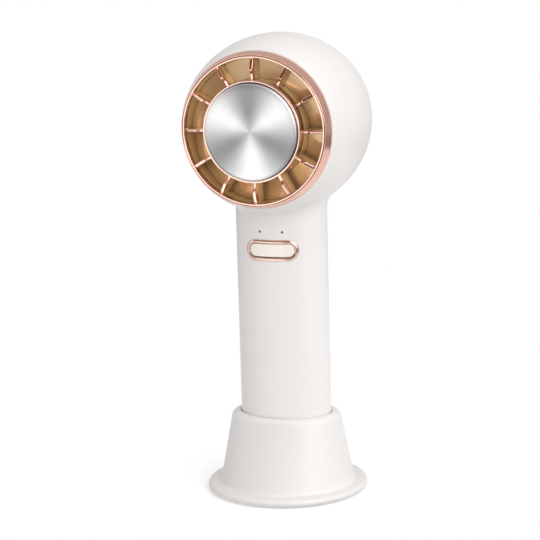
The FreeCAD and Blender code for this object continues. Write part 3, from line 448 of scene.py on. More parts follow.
def turned_plate(name, sectors=3, first=57.0):
    """Painted reflection as tone = middle + swing cos(sectors (angle - first)), plus fine rings
    by radius.
    """
    finish = Finish(name, {"Metallic": 0.5, "Anisotropic": 0.55})
    radius, angle = round_the_head(finish)
    # painted reflection: three bright and three dim sectors go into the base colour
    shifted = finish.math("SUBTRACT", angle, math.radians(first))
    wave = finish.math("COSINE", finish.math("MULTIPLY", shifted, float(sectors)))
    fade = finish.ramp_between(radius, 0.0, 9.0, 0.25, 1.0)
    swing = finish.math("MULTIPLY", wave, fade)
    painted_sectors = finish.math("MULTIPLY_ADD", swing, 0.5, 0.5)
    ring = finish.math("SINE", finish.math("MULTIPLY", radius, 2 * math.pi / RING_PITCH))
    chatter = finish.noise(900.0, 2.0)
    fine = finish.math("MULTIPLY", ring, finish.math("MULTIPLY", chatter, 0.05))
    level = finish.math("ADD", painted_sectors, fine, clamp=True)
    stops = finish.add("ValToRGB", {"Fac": level})
    for at, value in ((0.0, (0.27, 0.27, 0.275)), (1.0, (0.885, 0.885, 0.885))):
        stop = stops.color_ramp.elements[int(at)]
        stop.position = at
        stop.color = (*value, 1.0)
    middle = stops.color_ramp.elements.new(0.5)
    middle.color = (0.54, 0.54, 0.542, 1.0)
    tangent = finish.add("Tangent", direction_type="RADIAL", axis="Y")
    finish.feed(tangent, finish.skin, "Tangent")
    height = finish.math("MULTIPLY", ring, finish.ramp_between(radius, 0.5, 4.0))
    rough = finish.ramp_between(chatter, 0.3, 0.7, 0.34, 0.42)
    return finish.paint(Base_Color=stops.outputs["Color"], Roughness=rough,
                        Normal=finish.bump(height, 0.25, 0.000008))


finishes["spun_aluminium"] = turned_plate("turned aluminium")
print("rings on the plate:", int(PLATE_R / RING_PITCH))

# %% [markdown]
# ## Metals inside
#
# Screws, bearings, laminations, the fins of the heat sink and the nickel strips are hidden
# in use, but the model can be opened.  Each shows the mark of how it was made: grinding
# lines, stacked sheets, the bloom of a casting, or the lay of wound wire.

# %% Inner metals
def worked_metal(name, colour, rough, stripe_scale=0.0, axis="Y", stretch=1.0, **constants):
    """Metal with stripes across one axis, or cloudy where the stripes have no scale."""
    finish = Finish(name, {"Metallic": 1.0, **constants})
    if stripe_scale:
        pattern = finish.add("TexWave", {"Vector": finish.place(), "Scale": stripe_scale,
                                         "Distortion": stretch, "Detail": 2.0},
                             wave_type="BANDS", bands_direction=axis).outputs[1]
    else:
        pattern = finish.noise(700.0, 5.0, 0.6)
    tone = finish.blend(pattern, tuple(c * 0.82 for c in colour), colour)
    level = finish.ramp_between(pattern, 0.0, 1.0, rough - 0.06, rough + 0.06)
    return finish.paint(Base_Color=tone, Roughness=level,
                        Normal=finish.bump(pattern, 0.3, 0.00002))


finishes.update({
    "cast_aluminium": worked_metal("extruded aluminium", (0.66, 0.66, 0.67), 0.42, 900.0, "Y"),
    "screw_steel": worked_metal("zinc plated steel", (0.62, 0.63, 0.66), 0.32),
    "bearing_steel": worked_metal("ground steel", (0.68, 0.68, 0.69), 0.2, 2600.0, "Y", 0.5),
    "laminated_steel": worked_metal("stacked laminations", (0.36, 0.36, 0.38), 0.45, 1000.0,
                                    "Y", 0.0),
    "copper": worked_metal("wound copper wire", (0.72, 0.31, 0.14), 0.3, 1250.0, "DIAGONAL",
                           0.3, **{"Coat Weight": 0.5}),
    "nickel": worked_metal("nickel strip", (0.66, 0.62, 0.56), 0.28, 1500.0, "X"),
    "port_steel": worked_metal("drawn steel", (0.70, 0.70, 0.71), 0.25, 1800.0, "Y", 1.5),
})
finishes["magnet"] = worked_metal("bonded magnet", (0.16, 0.16, 0.17), 0.55,
                                  **{"Specular IOR Level": 0.3})
print("inner metals done")

# %% [markdown]
# ## Electrical parts
#
# A circuit board is green solder mask over copper: the tracks run in straight lanes that
# show as slightly lighter bands, and pads stand out in a regular grid.  The cell wears a
# shrink sleeve, the lamps are clear epoxy, and the light pipes are smoked so that the two
# holes in the shell look black until the lamps behind them come on.

# %% Boards, cell and lamps
def circuit_board(name, mask, track):
    """Lanes and cells of the track colour under a glossy mask, by two square patterns."""
    finish = Finish(name, {"Coat Weight": 0.4, "Coat Roughness": 0.1})
    lanes = finish.add("TexBrick", {"Vector": finish.place(), "Scale": 420.0,
                                    "Mortar Size": 0.06, "Brick Width": 0.9,
                                    "Row Height": 0.35, "Color1": (0, 0, 0),
                                    "Color2": (0, 0, 0), "Mortar": (1, 1, 1)})
    cells = finish.add("TexVoronoi", {"Vector": finish.place(), "Scale": 650.0},
                       distance="CHEBYCHEV")
    pad = finish.ramp_between(cells.outputs["Distance"], 0.16, 0.2, 1.0, 0.0)
    amount = finish.math("MAXIMUM", lanes.outputs["Color"], pad)
    rough = finish.ramp_between(finish.noise(300.0), 0.3, 0.7, 0.28, 0.4)
    return finish.paint(Base_Color=finish.blend(amount, mask, track), Roughness=rough,
                        Normal=finish.bump(amount, 0.4, 0.00004))


def sleeve(name, colour, band):
    """Shrink sleeve with one plain ring printed round it near the positive end."""
    finish = Finish(name, {"Coat Weight": 0.5, "Coat Roughness": 0.12})
    height = finish.add("SeparateXYZ", {"Vector": finish.place()}).outputs["Z"]
    low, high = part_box("battery_cell")
    foot, top = low.z + (high.z - low.z) * 0.9, high.z - 0.003
    ring = finish.inside(height, (foot, foot + 0.0004), (top, top + 0.0004))
    tone = finish.blend(ring, colour, band)
    wrinkle = finish.noise(260.0, 4.0)
    rough = finish.ramp_between(wrinkle, 0.3, 0.7, 0.25, 0.36)
    return finish.paint(Base_Color=tone, Roughness=rough,
                        Normal=finish.bump(wrinkle, 0.2, 0.00005))


finishes["circuit_board"] = circuit_board("green circuit board", (0.012, 0.09, 0.035),
                                          (0.05, 0.22, 0.09))
finishes["cell_wrap"] = sleeve("shrink sleeve", (0.02, 0.14, 0.36), (0.75, 0.76, 0.78))
finishes["led_body"] = moulded("clear epoxy lamp", linear(232, 232, 214), 0.18, 0.06, 900.0,
                               0.000004, **{"Transmission Weight": 0.4, "IOR": 1.53})
finishes["lens_dark"] = moulded("smoked light pipe", linear(38, 35, 34), 0.16, 0.2, 900.0,
                                0.000004, **{"Coat Weight": 0.4, "Coat Roughness": 0.05})
slots = {material["slot"] for material in record["materials"]}
print("slots without a finish:", sorted(slots - set(finishes)))

# %% [markdown]
# ## Finishes go on the CAD skins
#
# The record says which slot each solid takes its finish from, so one loop dresses the whole
# frame.  A mesh keeps its shape; only its material slots change.  The base gets a copy of the
# shell's finish a touch darker, as painted shade against the extra light it gets from the floor.

# %% Dress the frame
slot_of = {part["node"]: part["material_slot"] for part in record["subparts"]}


def dress(piece, finish):
    piece.data.materials.clear()
    piece.data.materials.append(finish)


for node, piece in nodes.items():
    dress(piece, finishes[slot_of[node]])
# painted shade: the base's white is the shell's, a touch darker
dress(nodes["stand_shell"], moulded("shaded copy of satin white", linear(237, 233, 231), 0.42, 0.02,
                                    **SATIN))
print("dressed", len(nodes), "CAD skins")

# %% [markdown]
# ## Skins as grids of points
#
# A skin is a grid: its rows follow one parameter, its columns another, and four neighbours
# make a face.  `sew` turns such an array into corner points and quads.  An outline that is
# carried once round closes on itself in both directions, so that it has no seam and no hole.
# Which way a face looks follows from the order of its corners, and the sign of a closed
# skin's volume tells it: where the volume is negative, `outwards` turns all faces round.

# %% Grid tools
def sew(grid, wrap_rows=True, wrap_columns=True):
    """Points and quads of a grid; a wrapped direction joins its last line to its first."""
    rows, columns = grid.shape[:2]
    i, j = np.meshgrid(np.arange(rows if wrap_rows else rows - 1),
                       np.arange(columns if wrap_columns else columns - 1), indexing="ij")
    below, right = (i + 1) % rows, (j + 1) % columns
    quads = np.stack([i * columns + j, below * columns + j,
                      below * columns + right, i * columns + right], axis=-1)
    return grid.reshape(-1, 3), quads.reshape(-1, 4)


def end_caps(grid):
    """Two faces with many corners, for the first and last row of a tube that is open there."""
    rows, columns = grid.shape[:2]
    first = np.arange(columns)
    return [first.tolist(), (first[::-1] + (rows - 1) * columns).tolist()]


def volume_of(points, quads, caps):
    """Volume in cubic mm: a sixth of the sum of a . (b x c) over all triangles.  It comes out
    positive where the faces look outwards."""
    parts = [quads[:, :3], quads[:, [0, 2, 3]]]
    for cap in map(np.array, caps):
        parts.append(np.stack([np.full(len(cap) - 2, cap[0]), cap[1:-1], cap[2:]], axis=1))
    a, b, c = points[np.concatenate(parts)].transpose(1, 0, 2)
    return float((a * np.cross(b, c)).sum() / 6)


def outwards(points, quads, caps):
    """The same skin, with every face turned round if they look inwards."""
    if volume_of(points, quads, caps) > 0:
        return points, quads, caps
    return points, quads[:, ::-1], [cap[::-1] for cap in caps]


print("a grid of 3 by 4 points, closed both ways, has", len(sew(np.zeros((3, 4, 3)))[1]), "quads")

# %% [markdown]
# ## From skins to a piece
#
# A piece is one mesh of one or more closed skins.  It rides on a body, takes its finish from
# a slot, and hides the solids that it stands for.  Its faces are shaded smooth, except where
# two of them meet at a steep angle, so that rounds look round and edges stay edges.

# %% Pieces
SHARP_EDGE = math.radians(48)


def add_piece(name, skins, body, slot, *stands_for):
    """One mesh from (points in mm, quads, caps) skins, riding on a body, in place of nodes."""
    skins = [outwards(*skin) for skin in skins]
    volumes = [volume_of(*skin) for skin in skins]
    starts = np.cumsum([0] + [len(skin[0]) for skin in skins])
    points = np.concatenate([skin[0] for skin in skins]) * MM
    faces = []
    for (_, quads, caps), start in zip(skins, starts):
        faces += (quads + start).tolist()
        faces += [[corner + int(start) for corner in cap] for cap in caps]
    mesh = bpy.data.meshes.new(name)
    mesh.from_pydata(points.tolist(), [], faces)
    mesh.shade_smooth()
    mesh.set_sharp_from_angle(angle=SHARP_EDGE)
    piece = bpy.data.objects.new(name, mesh)
    bpy.context.scene.collection.objects.link(piece)
    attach(piece, body)
    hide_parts(*stands_for)
    dress(piece, finishes[slot])
    print(f"{name}: {len(faces)} faces, {len(skins)} closed skins, the smallest of",
          f"{min(volumes):.1f} and all of {sum(volumes):.0f} cubic mm")
    return piece


print("faces that meet at more than", round(math.degrees(SHARP_EDGE)), "degrees keep their edge")

# %% [markdown]
# ## Outlines with soft corners
#
# Nothing that is moulded or turned has a corner of no size, and on polished metal it is the
# small round of an edge that catches the light.  So each outline is given as corners with a
# radius each.  The arc of a corner touches both of its sides, and one more point a little
# way along each side keeps the shading of the flat from leaning into the round.

# %% Soft outlines and rings
HOLD = 0.04                            # mm along a side, behind the end of an arc


def soft_outline(corners, radii, steps=7):
    """Closed outline of arcs: with half angle h of a corner, its arc starts radius / tan h
    along both sides, has its centre radius / sin h along the bisector, and turns pi - 2h."""
    corner = np.asarray(corners, float)
    radius = np.broadcast_to(np.asarray(radii, float), len(corner))[:, None]
    back = np.roll(corner, 1, axis=0) - corner
    ahead = np.roll(corner, -1, axis=0) - corner
    back /= np.linalg.norm(back, axis=1, keepdims=True)
    ahead /= np.linalg.norm(ahead, axis=1, keepdims=True)
    half = np.arccos(np.clip((back * ahead).sum(axis=1, keepdims=True), -1, 1)) / 2
    reach = radius / np.tan(half)
    middle = back + ahead
    middle /= np.linalg.norm(middle, axis=1, keepdims=True)
    centre = corner + middle * radius / np.sin(half)
    start, end = corner + back * reach - centre, corner + ahead * reach - centre
    turn = (math.pi - 2 * half)[:, None, :]
    t = np.linspace(0, 1, steps)[None, :, None]
    arc = centre[:, None] + (start[:, None] * np.sin((1 - t) * turn)
                             + end[:, None] * np.sin(t * turn)) / np.sin(turn)
    before = corner + back * (reach + HOLD)
    after = corner + ahead * (reach + HOLD)
    return np.concatenate([before[:, None], arc, after[:, None]], axis=1).reshape(-1, 2)


def turned(outline, steps=288):
    """Outline (r, y) carried round the head: (r sin t, y, HEAD_Z + r cos t) at angle t."""
    r, y = np.asarray(outline, float).T
    t = np.arange(steps)[:, None] * 2 * math.pi / steps
    return np.stack([r * np.sin(t), np.broadcast_to(y, (steps, len(y))),
                     HEAD_Z + r * np.cos(t)], axis=-1)


def ring_of(outline):
    return (*sew(turned(outline)), [])


def curve_through(start, middle, end, steps):
    """Parabola from start to end through a middle point at half way, both ends included."""
    a, m, b = (np.asarray(p, float) for p in (start, middle, end))
    t = np.linspace(0, 1, steps)[:, None]
    pull = 2 * m - (a + b) / 2
    return (1 - t) ** 2 * a + 2 * t * (1 - t) * pull + t ** 2 * b


print("a square with soft corners has",
      len(soft_outline([(0, 0), (1, 0), (1, 1), (0, 1)], 0.1)), "points")

# %% [markdown]
# ## The plated band
#
# The band is a collar that flares towards the shell, with a thin nose in front and a skirt
# that slips into the shell's bore.  It is a body of rotation, so one outline says it all.

# %% Band
BAND_GAP = 0.2                         # dark line between the band and the outer rim
BAND_WALL = 0.35                       # width of its nose, and thickness of its skirt
BAND_BULGE = 0.12                      # how far its flaring side bulges


def band_outline():
    """Skirt, rounded nose, flaring side with a slight bulge, and a soft edge at the seat."""
    r_in = GRILLE_R + BAND_GAP
    r_nose = r_in + BAND_WALL
    bead = BAND_WALL / 2
    angle = np.linspace(0, math.pi, 13)[:, None]
    nose = np.hstack([r_in + bead - bead * np.cos(angle),
                      BAND_FRONT + bead - bead * np.sin(angle)])
    wide = (BAND_R, BAND_SEAT - 0.5)
    middle = ((r_nose + BAND_R) / 2 + BAND_BULGE, (BAND_FRONT + BAND_SEAT) / 2)
    side = curve_through(nose[-1] + (0.0, 0.05), middle, wide, 24)
    seat = curve_through((BAND_R, BAND_SEAT - 0.4), (BAND_R - 0.1, BAND_SEAT - 0.1),
                         (BAND_R - 0.4, BAND_SEAT), 7)
    skirt = [(r_nose + 0.05, BAND_SEAT), (r_nose, BAND_SEAT + 0.05), (r_nose, SKIRT_END - 0.1),
             (r_nose - 0.1, SKIRT_END), (r_in + 0.1, SKIRT_END), (r_in, SKIRT_END - 0.1)]
    return np.vstack([nose, side, seat, skirt])


add_piece("plated_band", [ring_of(band_outline())], "fan", "rose_gold", "trim_ring")

# %% [markdown]
# ## The rims of the grille
#
# The grille is one moulding: two rims that twelve bars join.  A rim is turned like the band,
# with a front that bulges a little, so that it carries one bright line all the way round.

# %% Rims
RIM_ROUND = 0.15                       # how far the front of a rim bulges


def rim_outline(r_in, r_out, front):
    """Half ellipse in front, (middle - w cos t, front + h - h sin t), and two straight sides."""
    middle, w, h = (r_in + r_out) / 2, (r_out - r_in) / 2, RIM_ROUND
    t = np.linspace(0, math.pi, 21)
    bead = np.stack([middle - w * np.cos(t), front + h - h * np.sin(t)], axis=1)
    side = [(r_out, front + h + 0.05), (r_out, BAR_BACK - 0.05), (r_out - 0.05, BAR_BACK),
            (r_in + 0.05, BAR_BACK), (r_in, BAR_BACK - 0.05), (r_in, front + h + 0.05)]
    return np.vstack([bead, side])


outer_rim = ring_of(rim_outline(GRILLE_R - RIM_T, GRILLE_R, RIM_FRONT))
inner_rim = ring_of(rim_outline(HUB_R - HUB_T, HUB_R, HUB_FRONT))
print("points on the two rims:", len(outer_rim[0]) + len(inner_rim[0]))

# %% [markdown]
# ## The bars of the grille
#
# A bar climbs from the outer rim to a crest, dips behind it in an S, and runs level into the
# inner rim.  Its skin is a tube: one parameter runs out along the bar, the other goes round
# its section, which is flat in front between two small rounds.  Crest, dip and foot only say
# how far forward the front lies.

# %% Bars and grille
BARS = 12
BAR_HALF = 0.675                       # half width of the climbing part
NECK_HALF = 0.5                        # and of the part behind the crest
BAR_EDGE = 0.26                        # round on the front edges
BAR_SINK = 0.3                         # how far its ends reach into the rims
DIP_AT, CREST_AT = 0.24, 0.47          # shares of the way from the inner rim to the outer
CREST_ROUND = 0.05                     # how softly climb and fall meet there
CREST_Y = RIM_FRONT - 0.5
DIP_Y = RIM_FRONT + 0.9
FOOT_Y = RIM_FRONT + 1.15


def smooth_step(value, low, high):
    """0 below low, 1 above high, and 3t^2 - 2t^3 between."""
    t = np.clip((value - low) / (high - low), 0, 1)
    return t * t * (3 - 2 * t)


def bar_front(r):
    """How far forward a bar reaches at radius r, an S up to the crest and then a slow fall,
    and the share of its full width that it has there."""
    inner, outer = HUB_R, GRILLE_R - RIM_T
    dip, crest = inner + DIP_AT * (outer - inner), inner + CREST_AT * (outer - inner)
    climb = DIP_Y + (CREST_Y - DIP_Y) * smooth_step(r, dip, crest)
    fall = CREST_Y + (FOOT_Y - CREST_Y) * (r - crest) / (outer - crest)
    front = 0.5 * (climb + fall + np.sqrt((climb - fall) ** 2 + CREST_ROUND ** 2))
    return front, smooth_step(r, crest - 0.25, crest + 0.15)


def bar_skin(angle):
    """Row i lies at radius r_i.  Its section is a U: a front between two rounds of radius
    BAR_EDGE, and sides that run back to BAR_BACK.  The cosine that ends the left round comes
    out a hair over 0, so that point lands on the right round's first one: the front leans by
    half a degree, and each row has one face without area."""
    r = np.linspace(HUB_R - BAR_SINK, GRILLE_R - RIM_T + BAR_SINK, 90)[:, None]
    front, wide = bar_front(r)
    half = NECK_HALF + (BAR_HALF - NECK_HALF) * wide
    turn = np.linspace(0, math.pi / 2, 7)
    left = np.stack([-np.cos(turn), 1 - np.sin(turn)])
    right = np.stack([np.cos(turn[::-1]), 1 - np.sin(turn[::-1])])
    across = np.hstack([left[0], right[0]])[None, :]
    behind = np.hstack([left[1], right[1]])[None, :]
    side = np.sign(across + 1e-9)
    x = side * (half - BAR_EDGE) + across * BAR_EDGE
    y = front + behind * BAR_EDGE
    x = np.hstack([-half, x, half])
    y = np.hstack([np.full_like(half, BAR_BACK), y, np.full_like(half, BAR_BACK)])
    z = np.broadcast_to(r, x.shape)
    c, s = math.cos(angle), math.sin(angle)
    grid = np.stack([x * c + z * s, y, HEAD_Z - x * s + z * c], axis=-1)
    points, quads = sew(grid, wrap_rows=False)
    return points, quads, end_caps(grid)


bars = [bar_skin(turn) for turn in np.arange(BARS) * 2 * math.pi / BARS]
grille = add_piece("outlet_grille", [outer_rim, inner_rim, *bars], "fan", "rose_gold",
                   "front_grille")
# painted highlight: the grille's plating is a lighter copy of the band's, so its thin rims and bars come out
# whiter
dress(grille, plated("lit copy of rose gold", (0.86, 0.585, 0.49), 0.08))

# %% [markdown]
# ## The plate's shape
#
# The plate is turned too, but it has a middle, where a grid would run together in one point.
# So its outline starts well out on the face, and one flat with many corners closes each end.
# Round the face runs a fine groove, and a wide bevel leads down to the side.

# %% Plate
PLATE_BEVEL = 0.35
GROOVE_IN = 0.32                       # from the edge of the face to the groove's middle
GROOVE = 0.09                          # its depth
FLAT_R = 17.0                          # radius of the flats that close the skin


def disc_of(outline):
    """An open outline (r, y) carried round, with its two ends closed by flats."""
    points, quads = sew(turned(outline), wrap_columns=False)
    front = np.arange(0, len(points), len(outline))
    back = front + len(outline) - 1
    return points, quads, [front[::-1].tolist(), back.tolist()]


def plate_outline():
    """Face, groove, bevel between two small rounds, side and back.  The corners on the axis
    only close the outline for soft_outline, and are left out again."""
    face, back = depth_of("cold_plate")
    edge = PLATE_R - PLATE_BEVEL
    corners = [(edge, face), (PLATE_R, face + PLATE_BEVEL), (PLATE_R, back),
               (0, back), (0, face)]
    rounds = soft_outline(corners, [0.12, 0.2, 0.15, 0.01, 0.01])
    side = rounds.reshape(len(corners), -1, 2)[:3].reshape(-1, 2)
    across = np.array([-0.22, -0.18, -0.07, 0.0, 0.07, 0.18, 0.22])
    deep = np.array([0.0, 0.01, GROOVE * 0.8, GROOVE, GROOVE * 0.8, 0.01, 0.0])
    groove = np.stack([edge - GROOVE_IN + across, face + deep], axis=1)
    return np.vstack([(FLAT_R, face), groove, side, (FLAT_R, back)])


add_piece("plate_skin", [disc_of(plate_outline())], "fan", "spun_aluminium", "cold_plate")

# %% [markdown]
# ## The surround of the key
#
# The surround is a lip that follows a pill-shaped path over the oval handle.  Its section
# is written in two numbers: d, how far outside the key's opening a point lies, and t, how
# far behind the handle's surface.  The path turns d into a place on the front, and the
# oval, y = -B sqrt(1 - (x / A)^2), turns t into depth.

# %% Surround of the key
OVAL_A, OVAL_B = 20.5, 15.0            # half axes of the handle's section
LIP_W = 1.5                            # width of the lip
LIP_RISE = 0.56                        # height of its half ellipse
LIP_LEAN = 0.13                        # half of what it starts higher inside than outside
LIP_BACK = 1.15                        # it reaches back as far as the pivot pin of the key
SKIRT_T = 0.9                          # thickness of the part inside the shell


def pill_path(d, straight, radius, steps=28):
    """Points at distance d outside a pill: two lines and two half circles, clockwise."""
    t = np.linspace(0, 1, steps, endpoint=False)
    turn = np.concatenate([np.zeros(steps), t * math.pi, np.full(steps, math.pi),
                           math.pi + t * math.pi])[:, None]
    middle = np.concatenate([straight * (2 * t - 1), np.full(steps, straight),
                             straight * (1 - 2 * t), np.full(steps, -straight)])[:, None]
    return middle + (radius + d) * np.sin(turn), (radius + d) * np.cos(turn)


def surround_skin():
    """Section: t = -rise sin a - lean (1 + cos a) over d = W / 2 (1 - cos a), on a skirt."""
    low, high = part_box("button_frame")
    key_z = (low.z + high.z) / 2 / MM
    radius = (high.z - low.z) / 2 / MM - LIP_W
    straight = (high.x - low.x) / 2 / MM - LIP_W - radius
    a = np.linspace(0, math.pi, 19)
    arc = np.stack([LIP_W / 2 * (1 - np.cos(a)),
                    -LIP_RISE * np.sin(a) - LIP_LEAN * (1 + np.cos(a))], axis=1)
    section = np.vstack([[(0, LIP_BACK), (0, 0.1), (0, -0.2)], arc,
                         [(LIP_W, 0.1), (SKIRT_T + 0.05, 0.1), (SKIRT_T, 0.15),
                          (SKIRT_T, LIP_BACK)]])
    d, t = section.T
    x, z = pill_path(d[None, :], straight, radius)
    y = t - OVAL_B * np.sqrt(1 - (x / OVAL_A) ** 2)
    return (*sew(np.stack([x, y, key_z + z], axis=-1)), [])


surround = add_piece("key_surround", [surround_skin()], "fan", "rose_gold", "button_frame")
dress(surround, plated("soft rose gold", (0.70, 0.50, 0.425), 0.16))

# %% [markdown]
# ## The studio
#
# Light comes from a large white room that is brightest to the right of the front and a bit
# above, and that falls off evenly to the far side.  A direction's light is then a plain
# dot product, and a matt surface turned towards the bright side comes out brightest.
#
# Plating needs more than that to mirror, so mirror rays see another room.  It has bright
# walls beside and above the front, a dimmer back, and a dark, warm screen across most of
# the front that starts just above the floor.  Rims and crests mirror the bright floor below
# the screen, and the flats beside them mirror the screen itself, which draws the thin dark
# lines of polished metal.  A brighter spot high on the right puts a glint on the band's nose.
# The camera itself sees plain white behind everything.

# %% Room
BRIGHT_SIDE = Vector((0.70, -0.42, 0.54)).normalized()
ROOM_MIDDLE = 0.66                     # light from a direction square to the bright side
ROOM_SWING = 0.545                     # and how much more or less comes from along it
BRIGHT_WALL = 1.5                      # what plating mirrors beside and above the front
BACK_WALL, BACK_RISE = 0.56, 0.12      # and at the back, with how much more straight above
DARK_SCREEN = 0.16                     # and across most of the front, above the floor
SCREEN_ACROSS = (-0.97, -0.75), (0.42, 0.62)     # its soft edges left and right, along X
SCREEN_UPRIGHT = (0.08, 0.16), (0.60, 0.80)      # and below and above, along Z
SCREEN_TINT = (1.0, 0.45, 0.25)
GLINT_SIDE = Vector((0.74, -0.36, 0.56)).normalized()
GLINT = 2.8                            # how much brighter the spot is than the wall
WHITE = (1.0, 1.0, 1.0)


def facing(room, look, side):
    """Dot product of the looking direction with a fixed one: 1 along it, -1 against it."""
    return room.add("VectorMath", {0: look, 1: side}, operation="DOT_PRODUCT").outputs["Value"]


def add_room():
    world = bpy.data.worlds.new("white room")
    world.use_nodes = True
    bpy.context.scene.world = world
    room = Recipe(world.node_tree)
    world.node_tree.nodes.clear()
    look = room.add("TexCoord").outputs["Generated"]
    split = room.add("SeparateXYZ", {"Vector": look})
    x, y, z = (split.outputs[axis] for axis in "XYZ")
    matt = room.math("MULTIPLY_ADD", facing(room, look, BRIGHT_SIDE), ROOM_SWING, ROOM_MIDDLE)

    back = room.math("MULTIPLY_ADD", z, BACK_RISE, BACK_WALL)
    mirror = room.math("ADD", room.math("MULTIPLY", back, room.ramp_between(y, -0.25, 0.3)),
                       room.ramp_between(y, -0.25, 0.3, BRIGHT_WALL, 0.0))
    spot = room.ramp_between(facing(room, look, GLINT_SIDE), 0.92, 0.965, 0.0, GLINT)
    mirror = room.math("ADD", mirror, spot)
    upright = room.math("MULTIPLY", room.inside(z, *SCREEN_UPRIGHT),
                        room.ramp_between(y, -0.35, -0.1, 1.0, 0.0))
    screen = room.math("MULTIPLY", room.inside(x, *SCREEN_ACROSS), upright)
    mirror = room.between(screen, mirror, DARK_SCREEN)

    path = room.add("LightPath")
    glossy = path.outputs["Is Glossy Ray"]
    seen = room.math("MAXIMUM", path.outputs["Is Camera Ray"],
                     path.outputs["Is Transmission Ray"])
    level = room.between(seen, room.between(glossy, matt, mirror), 1.0)
    mirrored = room.math("MULTIPLY", glossy, room.math("SUBTRACT", 1.0, seen))
    tint = room.blend(mirrored, WHITE, room.blend(screen, WHITE, SCREEN_TINT))
    light = room.add("Background", {"Color": tint, "Strength": level})
    room.feed(light, room.add("OutputWorld"), "Surface")


add_room()
bpy.context.scene.view_settings.view_transform = "Standard"
print("room with light from", tuple(round(v, 2) for v in BRIGHT_SIDE))

# %% [markdown]
# ## The key light
#
# A room alone gives no shadow with a direction.  One weak lamp with a large face stands on
# the bright side, a metre away, and adds a soft one.

# %% Key light
def add_key_light(place, target, width, height, watts):
    """An area lamp at a place, turned so that its light leaves along -Z towards a target."""
    data = bpy.data.lights.new("key light", "AREA")
    data.shape = "RECTANGLE"
    data.size = width
    data.size_y = height
    data.energy = watts
    data.color = (1.0, 0.99, 0.98)
    lamp = bpy.data.objects.new("key light", data)
    lamp.location = place
    aim = Vector(target) - Vector(place)
    lamp.rotation_euler = aim.to_track_quat("-Z", "Y").to_euler()
    bpy.context.scene.collection.objects.link(lamp)
    print("key light at", round(aim.length, 2), "m")


add_key_light(place=(0.75, -0.55, 0.55), target=(0, 0, 0.12), width=0.5, height=0.7, watts=2.2)

# %% [markdown]
# ## What plating mirrors of the floor
#
# Mirror rays get levels of their own from the floor, by heading and by distance: a bright
# field ahead and to its left, a middling one further left, a dark one to the right of the
# front, and for the rest white as far as the floor is lit and dim beyond, with a little more
# at the horizon.  The edges of the fields are soft, so that they draw no line in the metal.

# %% Mirrored floor
LIT_REACH = 0.43                       # metres out to which it is white to mirror rays
LIT_FLOOR, DIM_FLOOR = 1.05, 0.33      # its levels up to there and beyond
HORIZON = 0.22                         # how much more comes from far out
FRONT_FLOOR = 1.75                     # the field ahead and to its left
LEFT_FLOOR = 0.75                      # and the one further left
FRONT_FIELD = (-1.05, -0.8), (0.02, 0.2)         # headings of soft edges, in radians
FLANK_FIELD = (0.04, 0.2), (0.55, 0.8)


def mirror_level(sheet, x, y, reach):
    """What plating sees of the sheet; the heading is 0 ahead and grows to the right."""
    heading = sheet.math("ARCTAN2", x, sheet.math("MULTIPLY", y, -1.0))
    level = sheet.ramp_between(reach, LIT_REACH - 0.05, LIT_REACH + 0.05, LIT_FLOOR, DIM_FLOOR)
    level = sheet.math("ADD", level, sheet.ramp_between(reach, 0.6, 1.5, 0.0, HORIZON))
    ahead = sheet.inside(heading, *FRONT_FIELD)
    left = sheet.math("MULTIPLY", sheet.ramp_between(heading, -1.05, -0.9, 1.0, 0.0),
                      sheet.ramp_between(y, 0.05, 0.15, 1.0, 0.0))
    flank = sheet.math("MULTIPLY", sheet.inside(heading, *FLANK_FIELD),
                       sheet.ramp_between(reach, 0.24, 0.32))
    for field, value in ((ahead, FRONT_FLOOR), (left, LEFT_FLOOR), (flank, DARK_SCREEN)):
        level = sheet.between(field, level, value)
    return level


print("levels of the floor's fields:", FRONT_FLOOR, LEFT_FLOOR, DARK_SCREEN)

# %% [markdown]
# ## The floor
#
# The floor is a white sheet.  Near the fan it is mostly an ordinary matt surface, so that
# the fan's soft shadow falls on it; further out it glows up to plain white, which hides
# where the sheet ends.  Light that goes from the sheet up to the fan is weaker than what
# the camera sees of it, so that undersides keep their shade.

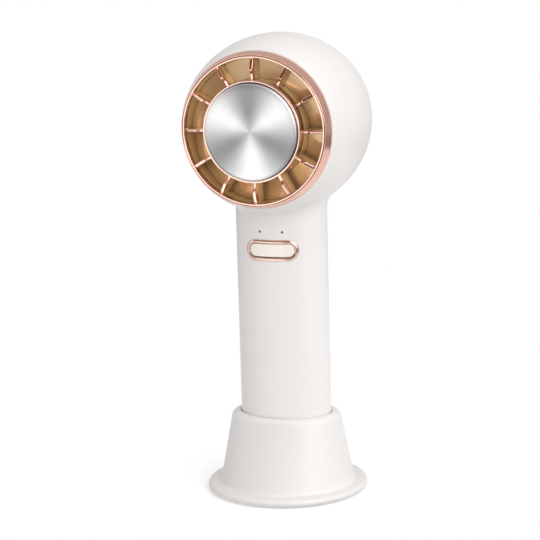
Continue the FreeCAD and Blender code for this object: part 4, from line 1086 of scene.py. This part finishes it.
# %% Floor
MATT_OUT, GLOW_IN = 0.034, 0.075       # metres between which the sheet starts to glow
SEEN_NEAR, SEEN_FAR = 0.20, 1.0        # its glow to the camera before and after that
SENT_NEAR, SENT_FAR = 0.34, 0.66       # and up to the fan
SENT_MATT = 0.25                       # share of the matt tone for light that goes up
SHEET_DROP = 0.00005                   # metres that it lies below the foot


def floor_material():
    material = bpy.data.materials.new("white sheet")
    material.use_nodes = True
    sheet = Recipe(material.node_tree)
    material.node_tree.nodes.clear()
    split = sheet.add("SeparateXYZ", {"Vector": sheet.place()})
    x, y = split.outputs["X"], split.outputs["Y"]
    square = sheet.math("MULTIPLY_ADD", x, x, sheet.math("MULTIPLY", y, y))
    reach = sheet.math("SQRT", square)
    away = sheet.ramp_between(reach, MATT_OUT, GLOW_IN)
    path = sheet.add("LightPath")
    glossy, bounced = path.outputs["Is Glossy Ray"], path.outputs["Is Diffuse Ray"]

    glow = sheet.between(bounced, sheet.between(away, SEEN_NEAR, SEEN_FAR),
                         sheet.between(away, SENT_NEAR, SENT_FAR))
    glow = sheet.between(glossy, glow, mirror_level(sheet, x, y, reach))
    grain = sheet.ramp_between(sheet.noise(220.0), 0.2, 0.8, 0.96, 1.0)
    tone = sheet.math("SUBTRACT", 1.0, sheet.math("MAXIMUM", away, glossy))
    tone = sheet.math("MULTIPLY", tone, grain)
    tone = sheet.math("MULTIPLY", tone, sheet.between(bounced, 1.0, SENT_MATT))
    matt = sheet.add("BsdfDiffuse", {"Color": tone})
    shine = sheet.add("Emission", {"Color": WHITE, "Strength": glow})
    both = sheet.add("AddShader", {0: matt, 1: shine})
    sheet.feed(both, sheet.add("OutputMaterial"), "Surface")
    return material


def add_floor(half=8.0):
    corners = [(-half, -half, 0), (half, -half, 0), (half, half, 0), (-half, half, 0)]
    mesh = bpy.data.meshes.new("floor")
    mesh.from_pydata(corners, [], [(0, 1, 2, 3)])
    floor = bpy.data.objects.new("floor", mesh)
    floor.location.z = -SHEET_DROP
    mesh.materials.append(floor_material())
    bpy.context.scene.collection.objects.link(floor)


add_floor()
print("floor laid")
